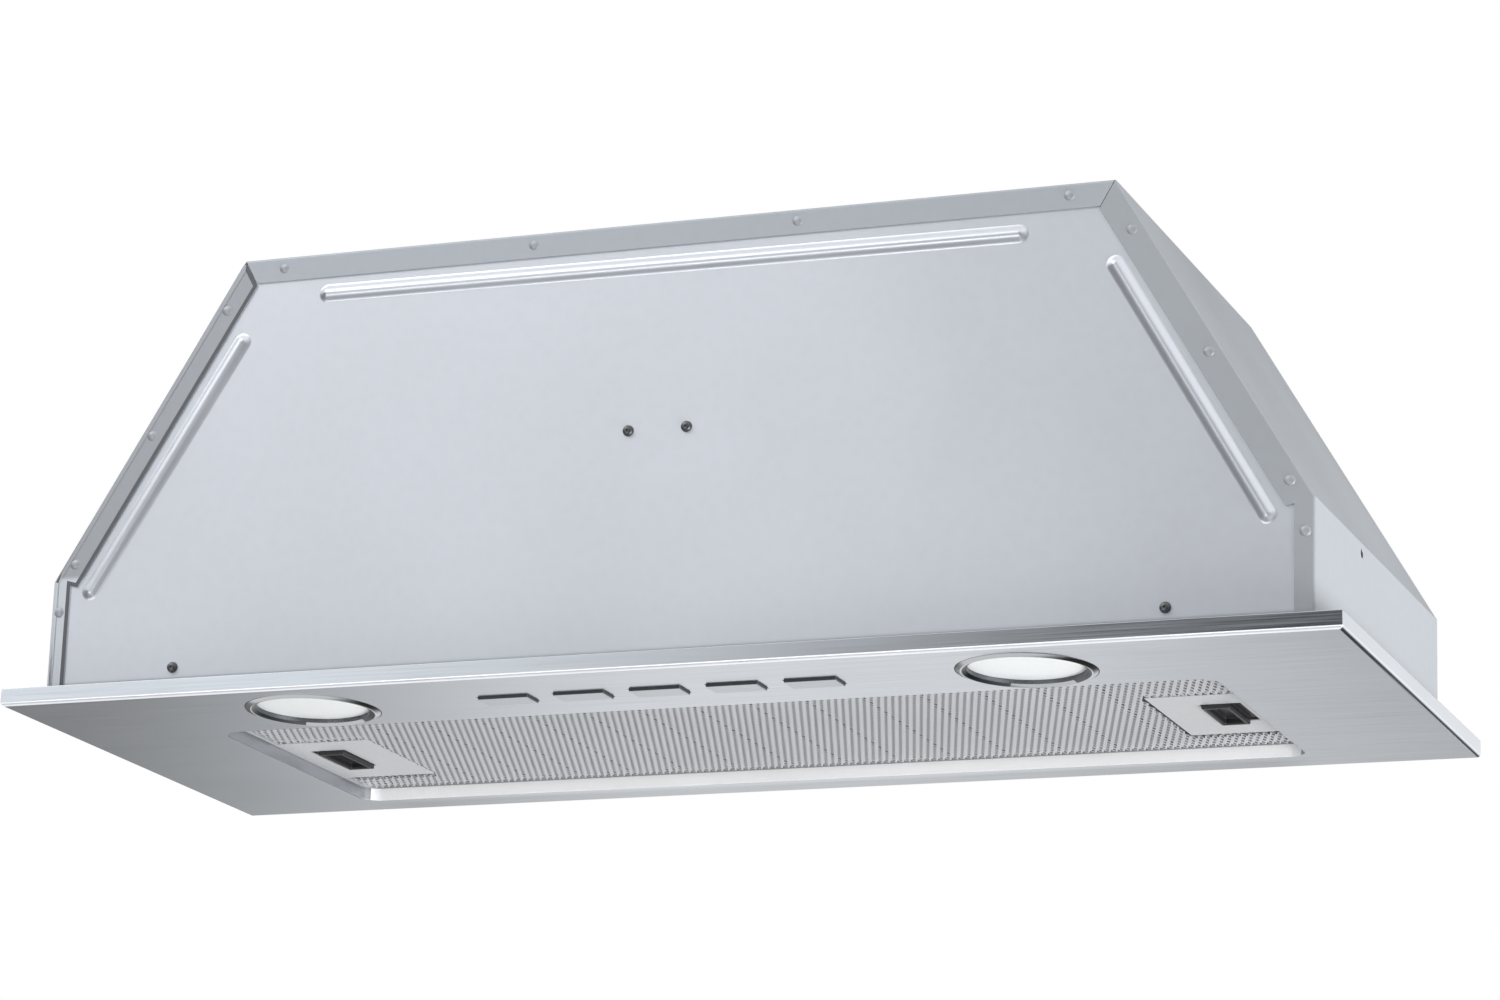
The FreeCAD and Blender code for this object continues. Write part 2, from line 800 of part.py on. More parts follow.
def filter_back():
    """Slotted back sheet that closes the tray."""
    sheet = rounded_block((-filter_x, filter_front_y, filter_top - back_sheet),
                          (filter_x, filter_back_y, filter_top), filter_corner)
    half_x = filter_x - latch_plate_width
    pitch = 2 * half_x / back_slot_columns
    length = pitch - back_slot_bridge
    pitch_y = back_slot_width + back_slot_bridge
    rows = int((filter_back_y - filter_front_y - 2 * mesh_margin) // pitch_y)
    middle = (filter_front_y + filter_back_y) / 2
    first = middle - (rows - 1) * pitch_y / 2
    slots = []
    for column in range(back_slot_columns):
        x = -half_x + pitch * (column + 0.5)
        for row in range(rows):
            y = first + row * pitch_y
            slots.append(box((x - length / 2, y - back_slot_width / 2, filter_top - back_sheet - overrun),
                             (x + length / 2, y + back_slot_width / 2, filter_top + overrun)))
    return sheet.cut(slots)


def latch_plate():
    """Flat plate inside the right end of the filter, with the slot in which the pull slides."""
    plate = box((filter_x - latch_plate_width, latch_plate_front_y, latch_plate_z),
                (filter_x - filter_sheet, latch_plate_back_y, latch_plate_z + latch_plate_sheet))
    half_x = pull_width / 2 + filter_gap
    half_y = pull_length / 2 + filter_gap
    slot = box((pull_x - half_x, latch_y - half_y, latch_plate_z - overrun),
               (pull_x + half_x + latch_travel, latch_y + half_y, latch_plate_z + overrun))
    return plate.cut(slot)


def latch():
    """Right latch: scooped pull below the plate, carrier above it and the tongue that locks the filter."""
    half_x, half_y = pull_width / 2, pull_length / 2
    pull = box((pull_x - half_x, latch_y - half_y, pull_height),
               (pull_x + half_x, latch_y + half_y, carrier_z))
    scoop = box((pull_x - half_x + pull_web, latch_y - half_y + pull_web, pull_height - overrun),
                (pull_x + half_x - pull_web, latch_y + half_y - pull_web,
                 carrier_z + carrier_sheet - pull_web / 2))
    carrier = box((pull_x - carrier_width / 2, latch_y - carrier_length / 2, carrier_z),
                  (pull_x + carrier_width / 2, latch_y + carrier_length / 2, carrier_z + carrier_sheet))
    tongue = box((pull_x, latch_y - tongue_width / 2, carrier_z),
                 (filter_x - seam_gap, latch_y + tongue_width / 2, carrier_z + carrier_sheet))
    return fused([pull, carrier, tongue]).cut(scoop)


def latch_spring():
    """Bent leaf on the right latch plate that pushes the latch outwards."""
    tip = pull_x - carrier_width / 2 - seat_gap
    foot_x = tip - spring_bow
    half = carrier_length / 2 - pull_corner
    high = carrier_z + spring_width / 2
    ends = [(foot_x, latch_y - half), (tip, latch_y), (foot_x, latch_y + half)]
    line = ends + [(x - spring_sheet, y) for x, y in reversed(ends)]
    leaf = plate_of([(x, y, carrier_z) for x, y in line], Z, high - carrier_z)
    post = box((foot_x - spring_foot, latch_y - half, latch_plate_z + latch_plate_sheet),
               (foot_x, latch_y + half, high))
    return fused([leaf, post])


# Blower


def on_scroll(centre, radius, degrees):
    """Point of a scroll arc in the plane of the wheel."""
    angle = math.radians(degrees)
    return Vector(0, centre[0] + radius * math.cos(angle), centre[1] + radius * math.sin(angle))


def scroll_face(grow, spare):
    """Face inside the scroll, grown by a wall, its throat run on past the top by a spare length."""
    first = (shaft_y, shaft_z)
    second = (shaft_y + scroll_growth, shaft_z)
    third = (shaft_y + scroll_growth, shaft_z + scroll_growth)
    radii = [scroll_start + i * scroll_growth + grow for i in range(3)]
    nose = math.degrees(math.acos((nose_offset - grow) / radii[0]))
    arcs = [(first, radii[0], nose, 180), (second, radii[1], 180, 270), (third, radii[2], 270, 360)]
    edges = []
    for centre, radius, start, end in arcs:
        points = [on_scroll(centre, radius, a) for a in (start, (start + end) / 2, end)]
        edges.append(Part.Arc(*points).toShape())
    begin = edges[0].Vertexes[0].Point
    finish = edges[-1].Vertexes[-1].Point
    top = top_inside + spare
    corners = [finish, Vector(0, finish.y, top), Vector(0, begin.y, top), begin]
    edges += [Part.makeLine(a, b) for a, b in zip(corners, corners[1:])]
    return Part.Face(Part.Wire(edges))


def across(face, low_x, high_x):
    """Face pushed out along X between two places."""
    moved = face.copy()
    moved.translate(X * low_x)
    return moved.extrude(X * (high_x - low_x))


def scroll_band():
    """Curved wall of the scroll with the throat that rises to the top panel."""
    outer = across(scroll_face(scroll_sheet, 0), -scroll_x, scroll_x)
    inner = across(scroll_face(0, overrun), -scroll_x - overrun, scroll_x + overrun)
    return outer.cut(inner)


def scroll_side():
    """Right side plate, cut with straight edges round the scroll, with its inlet and the foot at the top."""
    edge = scroll_sheet + scroll_flange
    front = shaft_y - scroll_start - edge
    back = shaft_y + scroll_start + 3 * scroll_growth + edge
    low = shaft_z - scroll_start - scroll_growth - edge
    corners = [(throat_front_y - edge, top_inside), (front, shaft_z + scroll_start), (front, low + side_cut),
               (front + side_cut, low), (back - side_cut, low), (back, low + side_cut), (back, top_inside)]
    plate = plate_of([(scroll_x, y, z) for y, z in corners], X, scroll_sheet)
    hole = rod((scroll_x - overrun, shaft_y, shaft_z), X, inlet_radius, 2 * overrun)
    foot = box((scroll_x, throat_front_y - edge, top_inside - scroll_sheet),
               (scroll_x + scroll_foot, throat_back_y + edge, top_inside))
    return fused([plate.cut(hole), foot])


def blade(index):
    """One forward-curved blade of two flat leaves, from ring to ring."""
    outer_r = wheel_radius - wheel_sheet / 2
    inner_r = wheel_radius - blade_depth
    base = 360.0 / blade_count * index
    thick = math.degrees(blade_sheet / outer_r)
    places = [(inner_r, 0), ((inner_r + outer_r) / 2, blade_bow_degrees), (outer_r, blade_lead_degrees)]
    front = [on_scroll((0, 0), r, base + a) for r, a in places]
    rear = [on_scroll((0, 0), r, base + a + thick) for r, a in reversed(places)]
    half = (wheel_width - wheel_sheet) / 2
    return across(Part.Face(Part.makePolygon(front + rear + front[:1])), -half, half)


def impeller():
    """Wheel with a middle disc, two end rings, forward-curved blades and a bored hub."""
    inner_r = wheel_radius - blade_depth - ring_lap
    disc = rod((-wheel_sheet / 2, 0, 0), X, wheel_radius, wheel_sheet)
    rings = [tube((start, 0, 0), X, wheel_radius, inner_r, wheel_sheet)
             for start in (-wheel_width / 2, wheel_width / 2 - wheel_sheet)]
    hub = rod((-wheel_sheet / 2, 0, 0), X, hub_radius, hub_length)
    wheel = disc.fuse(rings + [hub] + [blade(i) for i in range(blade_count)])
    wheel = wheel.cut(rod((-hub_length, 0, 0), X, shaft_radius + press_gap, 3 * hub_length))
    wheel.translate(Vector(0, shaft_y, shaft_z))
    return wheel


def motor_shaft():
    """Steel shaft from the hub into the motor."""
    length = shaft_nose + motor_start + motor_length - shaft_tail
    return rod((-shaft_nose, shaft_y, shaft_z), X, shaft_radius, length)


def motor_body():
    """Motor can with a blind bore for the shaft."""
    can = rod((motor_start, shaft_y, shaft_z), X, motor_radius, motor_length)
    bore = rod((motor_start - overrun, shaft_y, shaft_z), X, shaft_radius + running_gap,
               motor_length - shaft_tail + overrun + seat_gap)
    return can.cut(bore)


def motor_end_cap():
    """Bearing cap on the motor's outer end."""
    return rod((motor_start + motor_length, shaft_y, shaft_z), X, cap_radius, cap_length)


def motor_bracket():
    """Three cranked arms from the motor's end to the scroll's right side."""
    side_face = scroll_x + scroll_sheet
    end_face = motor_start + motor_length
    half = arm_width / 2
    arms = []
    for turn in range(3):
        strip = box((end_face, -half, cap_radius + seat_gap), (end_face + arm_sheet, half, arm_reach))
        foot = box((side_face, -half, arm_reach - arm_foot), (end_face + arm_sheet, half, arm_reach))
        arm = fused([strip, foot])
        arm.rotate(Vector(0, 0, 0), X, 120 * turn)
        arm.translate(Vector(0, shaft_y, shaft_z))
        arms.append(arm)
    return Part.makeCompound(arms)


def capacitor():
    """Box-shaped motor capacitor on the scroll's left side, with its fixing lug."""
    face = -scroll_x - scroll_sheet
    case = box((face - capacitor_depth, capacitor_y, capacitor_z),
               (face, capacitor_y + capacitor_width, capacitor_z + capacitor_height))
    lug = box((face - capacitor_lug_sheet, capacitor_y, capacitor_z - capacitor_lug),
              (face, capacitor_y + capacitor_width, capacitor_z))
    return fused([case, lug])


def blower_bracket():
    """Z-shaped bracket between the front panel and the front of the scroll."""
    half = blower_bracket_width / 2
    half_z = blower_bracket_height / 2
    rear = shaft_y - scroll_start - scroll_sheet
    low, high = shaft_z - half_z, shaft_z + half_z
    front_leg = box((-half, front_inside, low), (half, front_inside + bracket_sheet, high))
    web = box((-half, front_inside, low), (half, rear, low + bracket_sheet))
    rear_leg = box((-half, rear - bracket_sheet, low), (half, rear, high))
    return fused([front_leg, web, rear_leg])


# Outlet


def outlet_collar():
    """Moulded collar for the duct on an eight-sided flange, with four stops below the closed flaps."""
    base = (0, outlet_y, casing_height)
    corners = [(x, outlet_y + y, casing_height) for x, y in ring_of_corners(outlet_flange_radius, 8)]
    flange = plate_of(corners, Z, outlet_flange_sheet)
    collar = flange.fuse(rod(base, Z, outlet_radius, outlet_height))
    collar = collar.cut(rod(base, Z, outlet_radius - outlet_wall, outlet_height))
    collar = collar.fuse([flap_stop(45 + 90 * i) for i in range(4)])
    pin = rod((-outlet_radius - overrun, outlet_y, casing_height + flap_plane), X,
              flap_pin_radius + press_gap, 2 * outlet_radius + 2 * overrun)
    return collar.cut(pin)


def flap_stop(degrees):
    """Short rib inside the collar on which a closed flap rests."""
    high = flap_plane - flap_sheet / 2 - seat_gap
    outer = outlet_radius - outlet_wall / 2
    stop = box((outer - outlet_wall - stop_width, -stop_width / 2, high - stop_height),
               (outer, stop_width / 2, high))
    stop.rotate(Vector(0, 0, 0), Z, degrees)
    stop.translate(Vector(0, outlet_y, casing_height))
    return stop


def damper_pin():
    """Steel pin across the outlet."""
    return rod((-outlet_radius, outlet_y, casing_height + flap_plane), X, flap_pin_radius, 2 * outlet_radius)


def damper_flap(direction, first):
    """Half-round flap behind (1) or in front (-1) of the pin, with every other knuckle from the first."""
    level = casing_height + flap_plane
    low, high = level - flap_sheet / 2, level + flap_sheet / 2
    radius = outlet_radius - outlet_wall - flap_gap
    edge = outlet_y + knuckle_half * math.sqrt(2) + knuckle_gap
    leaf = rod((0, outlet_y, low), Z, radius, flap_sheet)
    leaf = leaf.common(box((-radius, edge, low), (radius, outlet_y + radius, high)))
    bounds = [share * radius for share in knuckle_shares]
    lugs = []
    for start, end in list(zip(bounds, bounds[1:]))[first::2]:
        start, end = start + knuckle_gap, end - knuckle_gap
        lugs.append(box((start, outlet_y - knuckle_half, level - knuckle_half),
                        (end, outlet_y + knuckle_half, level + knuckle_half)))
        lugs.append(box((start, outlet_y, low), (end, edge + flap_sheet, high)))
    bore = rod((-radius, outlet_y, level), X, flap_pin_radius + running_gap, 2 * radius)
    flap = fused([leaf] + lugs).cut(bore)
    return flap if direction > 0 else flap.mirror(Vector(0, outlet_y, 0), Y)


# Electrics


def terminal_box():
    """Open box on the back panel with a terminal block inside and a cable entry on top."""
    low = (terminal_box_x, back_inside - terminal_box_depth, terminal_box_z)
    high = (low[0] + terminal_box_width, back_inside, low[2] + terminal_box_height)
    inner = box((low[0] + box_wall, low[1] - overrun, low[2] + box_wall),
                (high[0] - box_wall, high[1] - box_wall, high[2] - box_wall))
    shell = box(low, high).cut(inner)
    block = box((low[0] + terminal_block_inset, high[1] - box_wall - terminal_block_size, low[2] + box_wall),
                (high[0] - terminal_block_inset, high[1] - box_wall, low[2] + box_wall + terminal_block_size))
    entry = rod((gland_x, gland_y, high[2] - overrun), Z, gland_bore, 2 * overrun)
    return fused([shell, block]).cut(entry)


def terminal_box_lid():
    """Lid on the terminal box's front, with a rim that enters the box."""
    front = back_inside - terminal_box_depth
    far_x, far_z = terminal_box_x + terminal_box_width, terminal_box_z + terminal_box_height
    lid = box((terminal_box_x, front - box_lid, terminal_box_z), (far_x, front, far_z))
    inset = box_wall + seat_gap
    rim = box((terminal_box_x + inset, front, terminal_box_z + inset),
              (far_x - inset, front + box_lid, far_z - inset))
    inset += box_wall
    hollow = box((terminal_box_x + inset, front, terminal_box_z + inset),
                 (far_x - inset, front + overrun, far_z - inset))
    return fused([lid, rim.cut(hollow)])


def lamp_transformer():
    """Low-voltage supply for the lamps, on the back panel, with a fixing ear at each end."""
    front = back_inside - transformer_depth
    far_x, far_z = transformer_x + transformer_width, transformer_z + transformer_height
    body = box((transformer_x, front, transformer_z), (far_x, back_inside, far_z))
    ears = box((transformer_x - transformer_ear, back_inside - box_wall, transformer_z + box_edge),
               (far_x + transformer_ear, back_inside, far_z - box_edge))
    return fused([body, ears])


def cable_gland():
    """Gland for the mains cable through the top panel."""
    corners = [(gland_x + x, gland_y + y, casing_height) for x, y in ring_of_corners(gland_nut_radius, 6)]
    nut = plate_of(corners, Z, gland_nut)
    low = top_inside - gland_tail
    length = gland_tail + casing_sheet + gland_nut
    body = rod((gland_x, gland_y, low), Z, gland_radius, length)
    bore = rod((gland_x, gland_y, low), Z, gland_bore, length)
    return fused([nut, body]).cut(bore)


def both(maker):
    """The left and right copies of a lamp piece."""
    return Part.makeCompound([maker(x) for x in lamp_xs()])


def main():
    right_panel, side_plate, end_plate = right_side_panel(), scroll_side(), latch_plate()
    right_latch, right_spring = latch(), latch_spring()
    nodes = {
        "bottom_plate": bottom_plate(),
        "front_panel": front_panel(),
        "back_panel": face_panel(back_panel_y, 1),
        "right_side_panel": right_panel,
        "left_side_panel": mirrored(right_panel),
        "top_panel": top_panel(),
        "panel_brackets": panel_brackets(),
        "front_rivets": rivets(front_y, -1),
        "back_rivets": rivets(back_y, 1),
        "panel_screws": panel_screws(),
        "outlet_collar": outlet_collar(),
        "damper_pin": damper_pin(),
        "damper_flap_back": damper_flap(1, 0),
        "damper_flap_front": damper_flap(-1, 1),
        "cable_gland": cable_gland(),
        "scroll_band": scroll_band(),
        "scroll_side_right": side_plate,
        "scroll_side_left": mirrored(side_plate),
        "impeller": impeller(),
        "motor_shaft": motor_shaft(),
        "motor_body": motor_body(),
        "motor_end_cap": motor_end_cap(),
        "motor_bracket": motor_bracket(),
        "capacitor": capacitor(),
        "blower_bracket": blower_bracket(),
        "terminal_box": terminal_box(),
        "terminal_box_lid": terminal_box_lid(),
        "lamp_transformer": lamp_transformer(),
        "lamp_bezels": both(lamp_bezel),
        "lamp_glasses": both(lamp_glass),
        "lamp_reflectors": both(lamp_reflector),
        "lamp_bulbs": both(lamp_bulb),
        "lamp_holders": both(lamp_holder),
        "switch_bank": switch_bank(),
        "filter_tray": filter_tray(),
        "filter_pad": filter_pad(),
        "filter_back": filter_back(),
        "latch_plate_right": end_plate,
        "latch_plate_left": mirrored(end_plate),
        "latch_right": right_latch,
        "latch_left": mirrored(right_latch),
        "latch_spring_right": right_spring,
        "latch_spring_left": mirrored(right_spring),
    }
    for i, x in enumerate(button_xs()):
        nodes[f"button_{i + 1}"] = button(x)
    os.makedirs("parts", exist_ok=True)
    for name, shape in nodes.items():
        shape.translate(Z * button_proud)
        solids = shape.Solids
        note = "" if shape.isValid() and all(s.Volume > 0 for s in solids) else "  CHECK"
        print(f"{name:22s} {len(solids):3d} solids {sum(s.Volume for s in solids):12.1f} mm3{note}")
        shape.exportStep(f"parts/{name}.step")


main()
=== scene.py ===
import json
import math

import bmesh
import bpy
import numpy as np
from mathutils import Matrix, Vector

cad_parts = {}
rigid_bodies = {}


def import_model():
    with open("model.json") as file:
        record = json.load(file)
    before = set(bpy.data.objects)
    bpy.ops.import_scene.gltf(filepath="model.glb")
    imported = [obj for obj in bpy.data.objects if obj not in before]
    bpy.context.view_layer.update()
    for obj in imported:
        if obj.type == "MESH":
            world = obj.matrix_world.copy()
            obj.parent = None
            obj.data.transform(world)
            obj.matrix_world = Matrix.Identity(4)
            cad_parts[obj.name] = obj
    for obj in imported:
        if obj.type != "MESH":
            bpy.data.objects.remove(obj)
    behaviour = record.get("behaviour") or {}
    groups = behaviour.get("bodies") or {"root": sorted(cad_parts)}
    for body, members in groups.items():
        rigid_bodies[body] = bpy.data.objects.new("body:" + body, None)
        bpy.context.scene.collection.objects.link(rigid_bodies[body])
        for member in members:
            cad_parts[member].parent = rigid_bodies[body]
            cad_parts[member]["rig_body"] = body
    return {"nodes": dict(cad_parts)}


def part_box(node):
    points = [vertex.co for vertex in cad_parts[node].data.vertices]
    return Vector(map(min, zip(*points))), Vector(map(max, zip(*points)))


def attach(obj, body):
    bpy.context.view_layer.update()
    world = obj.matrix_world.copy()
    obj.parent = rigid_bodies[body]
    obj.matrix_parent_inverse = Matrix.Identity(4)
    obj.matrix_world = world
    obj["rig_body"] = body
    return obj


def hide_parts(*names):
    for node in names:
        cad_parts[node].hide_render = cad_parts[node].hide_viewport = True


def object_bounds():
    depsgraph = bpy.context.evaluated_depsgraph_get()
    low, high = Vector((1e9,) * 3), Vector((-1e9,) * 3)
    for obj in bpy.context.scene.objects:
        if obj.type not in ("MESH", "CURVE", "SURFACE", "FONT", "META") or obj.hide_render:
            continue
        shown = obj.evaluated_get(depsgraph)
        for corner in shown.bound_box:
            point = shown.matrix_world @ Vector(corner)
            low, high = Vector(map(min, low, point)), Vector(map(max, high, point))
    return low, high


# Looks for the built-in range hood. Metres, X to the right, Y to the back, Z up.

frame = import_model()
cad_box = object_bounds()
cad_box_low = Vector(cad_box[0])
MM = 0.001
X, Y = Vector((1, 0, 0)), Vector((0, 1, 0))
touching = 0.01 * MM
flat_angle = math.radians(1)

# Camera, fitted to the photograph
camera_place = (0.87799, -2.19295, -0.52885)
camera_forward = (-0.35799, 0.89494, 0.26632)
camera_up = (0.06619, -0.26018, 0.96329)
camera_lens = 114.05
camera_sensor = 36
camera_reach = 60

# Floor
floor_drop = 4.6
floor_half = 9
floor_colour = (0.86, 0.86, 0.87)
floor_tones = ((0.84, 0.84, 0.85), (0.88, 0.88, 0.89))
floor_roughness = 0.8
floor_grain = (3, 3, 3)

# World: its strength, and spots with their direction, inner and outer angle and strength
world_level = 0.8
world_spots = (
    ((-0.55, -0.8, 0.22), 6, 20, 1.2),
    ((0.12, -0.97, 0.2), 10, 34, 0.3),
    ((-0.12, -0.96, 0.25), 8, 16, 0.02),
    ((-0.36, 0.89, -0.26), 1, 8, 0.98),
    ((-0.62, 0.75, -0.2), 6, 17, 0.18),
    ((0.12, 0.84, -0.53), 14, 31, 0.03),
    ((-0.46, 0.86, 0.22), 10, 22, 0.04),
    ((0.4, 0.88, 0.25), 8, 26, 1.3),
    ((-0.9, -0.42, -0.12), 22, 38, 0.05),
    ((0.56, -0.76, -0.34), 12, 36, 0.05),
    ((-0.36, -0.61, -0.71), 12, 30, 0.1),
    ((0.38, -0.5, 0.78), 8, 22, 2),
    ((-0.81, 0.04, 0.58), 8, 22, 2),
    ((0, 0.86, 0.5), 8, 25, 0.25),
    ((0, -0.1, 1), 20, 60, 1.2),
)

# Area lights: name, place, target, size and power
area_lights = (
    ("right", (2.6, -0.3, -1.7), (0.3, 0, 0.05), (2.4, 1.6), 140),
    ("above", (-1.5, -1.6, 1.9), (0, 0, 0.1), (2.0, 1.2), 18),
    ("low", (-1.1, -2.9, -0.9), (0, 0, 0.1), (2.4, 0.3), 14),
)

# Rounded edges, and the angles in degrees up to which shading is smooth
edge_round = 0.22 * MM
tray_round = 0.1 * MM
latch_plate_round = 0.25 * MM
latch_round = 0.7 * MM
button_round = 0.35 * MM
edge_degrees = 30
smooth_piece, smooth_round, smooth_lamp, smooth_mesh = 35, 60, 40, 20

# Sheet metal and its pressed ribs. A side's flange and the panel behind it are one sheet each.
casing_sheet = (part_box("front_panel")[1].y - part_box("left_side_panel")[0].y) / 2
rim_height = 9 * MM
fold_height = 69 * MM
rib_foot = 4.9 * MM
rib_rise = 2.0 * MM
rib_crown_share = 0.02
rib_fullness = 0.8
rib_steps = 10
rib_turns = 12
rib_level = 5 * MM

# Painted shade and light on the sheets: tone, and where it fades
back_painted_shade, back_fade = 0.72, 12 * MM
back_end_out, back_end_in = 10 * MM, 30 * MM
foot_painted_shadow, foot_fade = 0.62, 2 * MM
right_painted_shade, right_start, right_end = 0.88, 0.05, 0.3
wall_painted_light, wall_fade = 1.6, 3 * MM
sight_slope = 0.26

# Faces of the plate and of the left side that get a finish of their own: painted shade and painted
# light on the opening's walls, a painted highlight on the plate's front bend, a painted shadow on the
# left flange's hem
opening_margin = 3 * MM
opening_low = 1.5 * MM
opening_end = 0.7
bend_margin = 3 * MM
bend_slope = 0.15
flange_facing = 0.9
flange_edge = 0.5
hem = 2.2 * MM
hem_facing = 0.3

# Fastener heads, as (radius, height) in millimetres from the crown to the foot
head_corners = 20
rivet_profile = ((0, 0.9), (0.9, 0.85), (1.7, 0.66), (2.3, 0.4), (2.6, 0.15), (2.75, 0))
screw_profile = ((0, 1.1), (0.4, 1.1), (0.5, 2.1), (1.4, 2.05), (2.1, 1.75), (2.55, 1.2),
                 (2.75, 0.6), (2.85, 0))
fasteners = (
    ("front_rivets", rivet_profile, "rivet_steel"),
    ("back_rivets", rivet_profile, "rivet_steel"),
    ("panel_screws", screw_profile, "fastener_steel"),
)

# Lamps. The glass's crown is (radius, height) in millimetres.
lamp_lip = 5.4 * MM
lip_round = 0.5 * MM
ring_wall = 1 * MM
ring_ledge = 5 * MM
ring_corners = 120
# The ring's painted shade reaches this far past the mouth, and onto slopes at the ends that lean at
# least this far sideways.
dark_margin = 0.2 * MM
dark_slope = 0.24
glass_fill = 1.9 * MM
glass_crown = ((0, 0.7), (12, 0.6), (21, 0.35))
glass_gap = 0.1 * MM
glass_margin = 1.3 * MM
glass_corners = 72

# Buttons
button_count = 5

# Expanded metal on the filter's face
cell_width = 3.8 * MM
cell_depth = 11 * MM
strand_share = 0.54
layer_share = 0.8
strand_lean = 0.15 * MM
layer_pitch = 1.12
window_gap = 2 * MM
window_front_gap = 4 * MM

# Finishes: noise grain per metre, tones round the colour, steps round the roughness, relief
brush_clouds = (9, 9, 9)
brush_tones = (0.965, 1.03)
brush_rough = (-0.05, 0.06)
brush_relief = 0.25
zinc = (0.64, 0.67, 0.725)
zinc_spangle = 170
zinc_flakes, zinc_flake_reach = 0.35, 0.8
zinc_clouds = (7, 7, 7)
zinc_grain = (900, 900, 900)
zinc_tones = (0.96, 1.03)
zinc_rough = (-0.04, 0.05)
zinc_relief, zinc_depth = 0.12, 0.02 * MM
plastic_clouds = (30, 30, 30)
plastic_grain = (1400, 1400, 1400)
plastic_tones = (0.9, 1.1)
plastic_rough = (-0.05, 0.08)
plastic_relief, plastic_depth = 0.2, 0.03 * MM
frost_grain = (500, 500, 500)
frost_rough = (-0.04, 0.06)
frost_relief, frost_depth = 0.15, 0.02 * MM
glass_index = 1.5
lamp_transmission = 0.35
least_roughness = 0.01
satin_grain = (300, 300, 300)
wall_grain = (30, 30, 900)
polish_grain = (60, 60, 60)

# Pieces that keep their CAD shape with softer edges
plain_nodes = (
    "outlet_collar", "damper_flap_back", "damper_flap_front", "damper_pin", "cable_gland",
    "scroll_band", "scroll_side_left", "scroll_side_right", "motor_body", "motor_end_cap",
    "motor_bracket", "motor_shaft", "capacitor", "terminal_box", "terminal_box_lid",
    "lamp_transformer", "switch_bank", "panel_brackets", "blower_bracket", "lamp_reflectors",
    "lamp_holders", "lamp_bulbs", "filter_back", "impeller",
)


# Mesh tools


def new_object(name, mesh):
    """Object for a mesh, in the scene."""
    piece = bpy.data.objects.new(name, mesh)
    bpy.context.scene.collection.objects.link(piece)
    return piece


def mesh_of(name, points, faces):
    """Mesh from points and faces."""
    mesh = bpy.data.meshes.new(name)
    mesh.from_pydata([tuple(p) for p in points], [], [tuple(int(i) for i in f) for f in faces])
    mesh.update()
    return mesh


def smooth(piece, degrees):
    """Smooth shading up to an angle."""
    mesh = piece.data
    mesh.polygons.foreach_set("use_smooth", [True] * len(mesh.polygons))
    mesh.set_sharp_from_angle(angle=math.radians(degrees))
    return piece


def dress(piece, body, slot, nodes=(), others=()):
    """Give a piece its body, its finishes and the nodes that it stands for."""
    mesh = piece.data
    places = [face.material_index for face in mesh.polygons]
    mesh.materials.clear()
    for name in (slot, *others):
        mesh.materials.append(finishes[name])
    mesh.polygons.foreach_set("material_index", places)
    if nodes:
        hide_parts(*nodes)
    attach(piece, body)


def body_of(node):
    """Body that a CAD node rides on."""
    return frame["nodes"][node]["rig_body"]


def slot_of(node):
    """Material slot that the record gives a CAD node."""
    return frame["nodes"][node].material_slots[0].material.name.split(".")[0]


def merge_flat(edit):
    """Make the flat faces of a bmesh whole."""
    bmesh.ops.dissolve_limit(edit, angle_limit=flat_angle, verts=edit.verts, edges=edit.edges)


def welded(node):
    """CAD node's mesh as a bmesh with its points joined and its flat faces whole."""
    edit = bmesh.new()
    edit.from_mesh(frame["nodes"][node].data)
    bmesh.ops.remove_doubles(edit, verts=edit.verts, dist=touching)
    merge_flat(edit)
    edit.normal_update()
    return edit


def island_boxes(node):
    """Lowest and highest corner of each loose part of a CAD node."""
    edit = welded(node)
    left = set(edit.verts)
    boxes = []
    while left:
        queue = [left.pop()]
        group = []
        while queue:
            vert = queue.pop()
            group.append(vert.co.copy())
            near = {edge.other_vert(vert) for edge in vert.link_edges} & left
            left -= near
            queue += near
        boxes.append(tuple(Vector([pick(p[i] for p in group) for i in range(3)])
                           for pick in (min, max)))
    edit.free()
    return boxes


def rounded_copy(node, edit=None, width=edge_round, segments=2, slot=None, others=()):
    """Piece in place of a CAD node, with its sharp edges rounded."""
    edit = edit or welded(node)
    mesh = bpy.data.meshes.new(node + "_round")
    edit.to_mesh(mesh)
    edit.free()
    piece = new_object(node + "_round", mesh)
    bevel = piece.modifiers.new("edges", "BEVEL")
    bevel.width = width
    bevel.segments = segments
    bevel.limit_method = "ANGLE"
    bevel.angle_limit = math.radians(edge_degrees)
    bevel.use_clamp_overlap = True
    smooth(piece, smooth_piece)
    weighted = piece.modifiers.new("normals", "WEIGHTED_NORMAL")
    weighted.mode = "FACE_AREA"
    weighted.weight = 100
    weighted.keep_sharp = True
    dress(piece, body_of(node), slot or slot_of(node), [node], others)


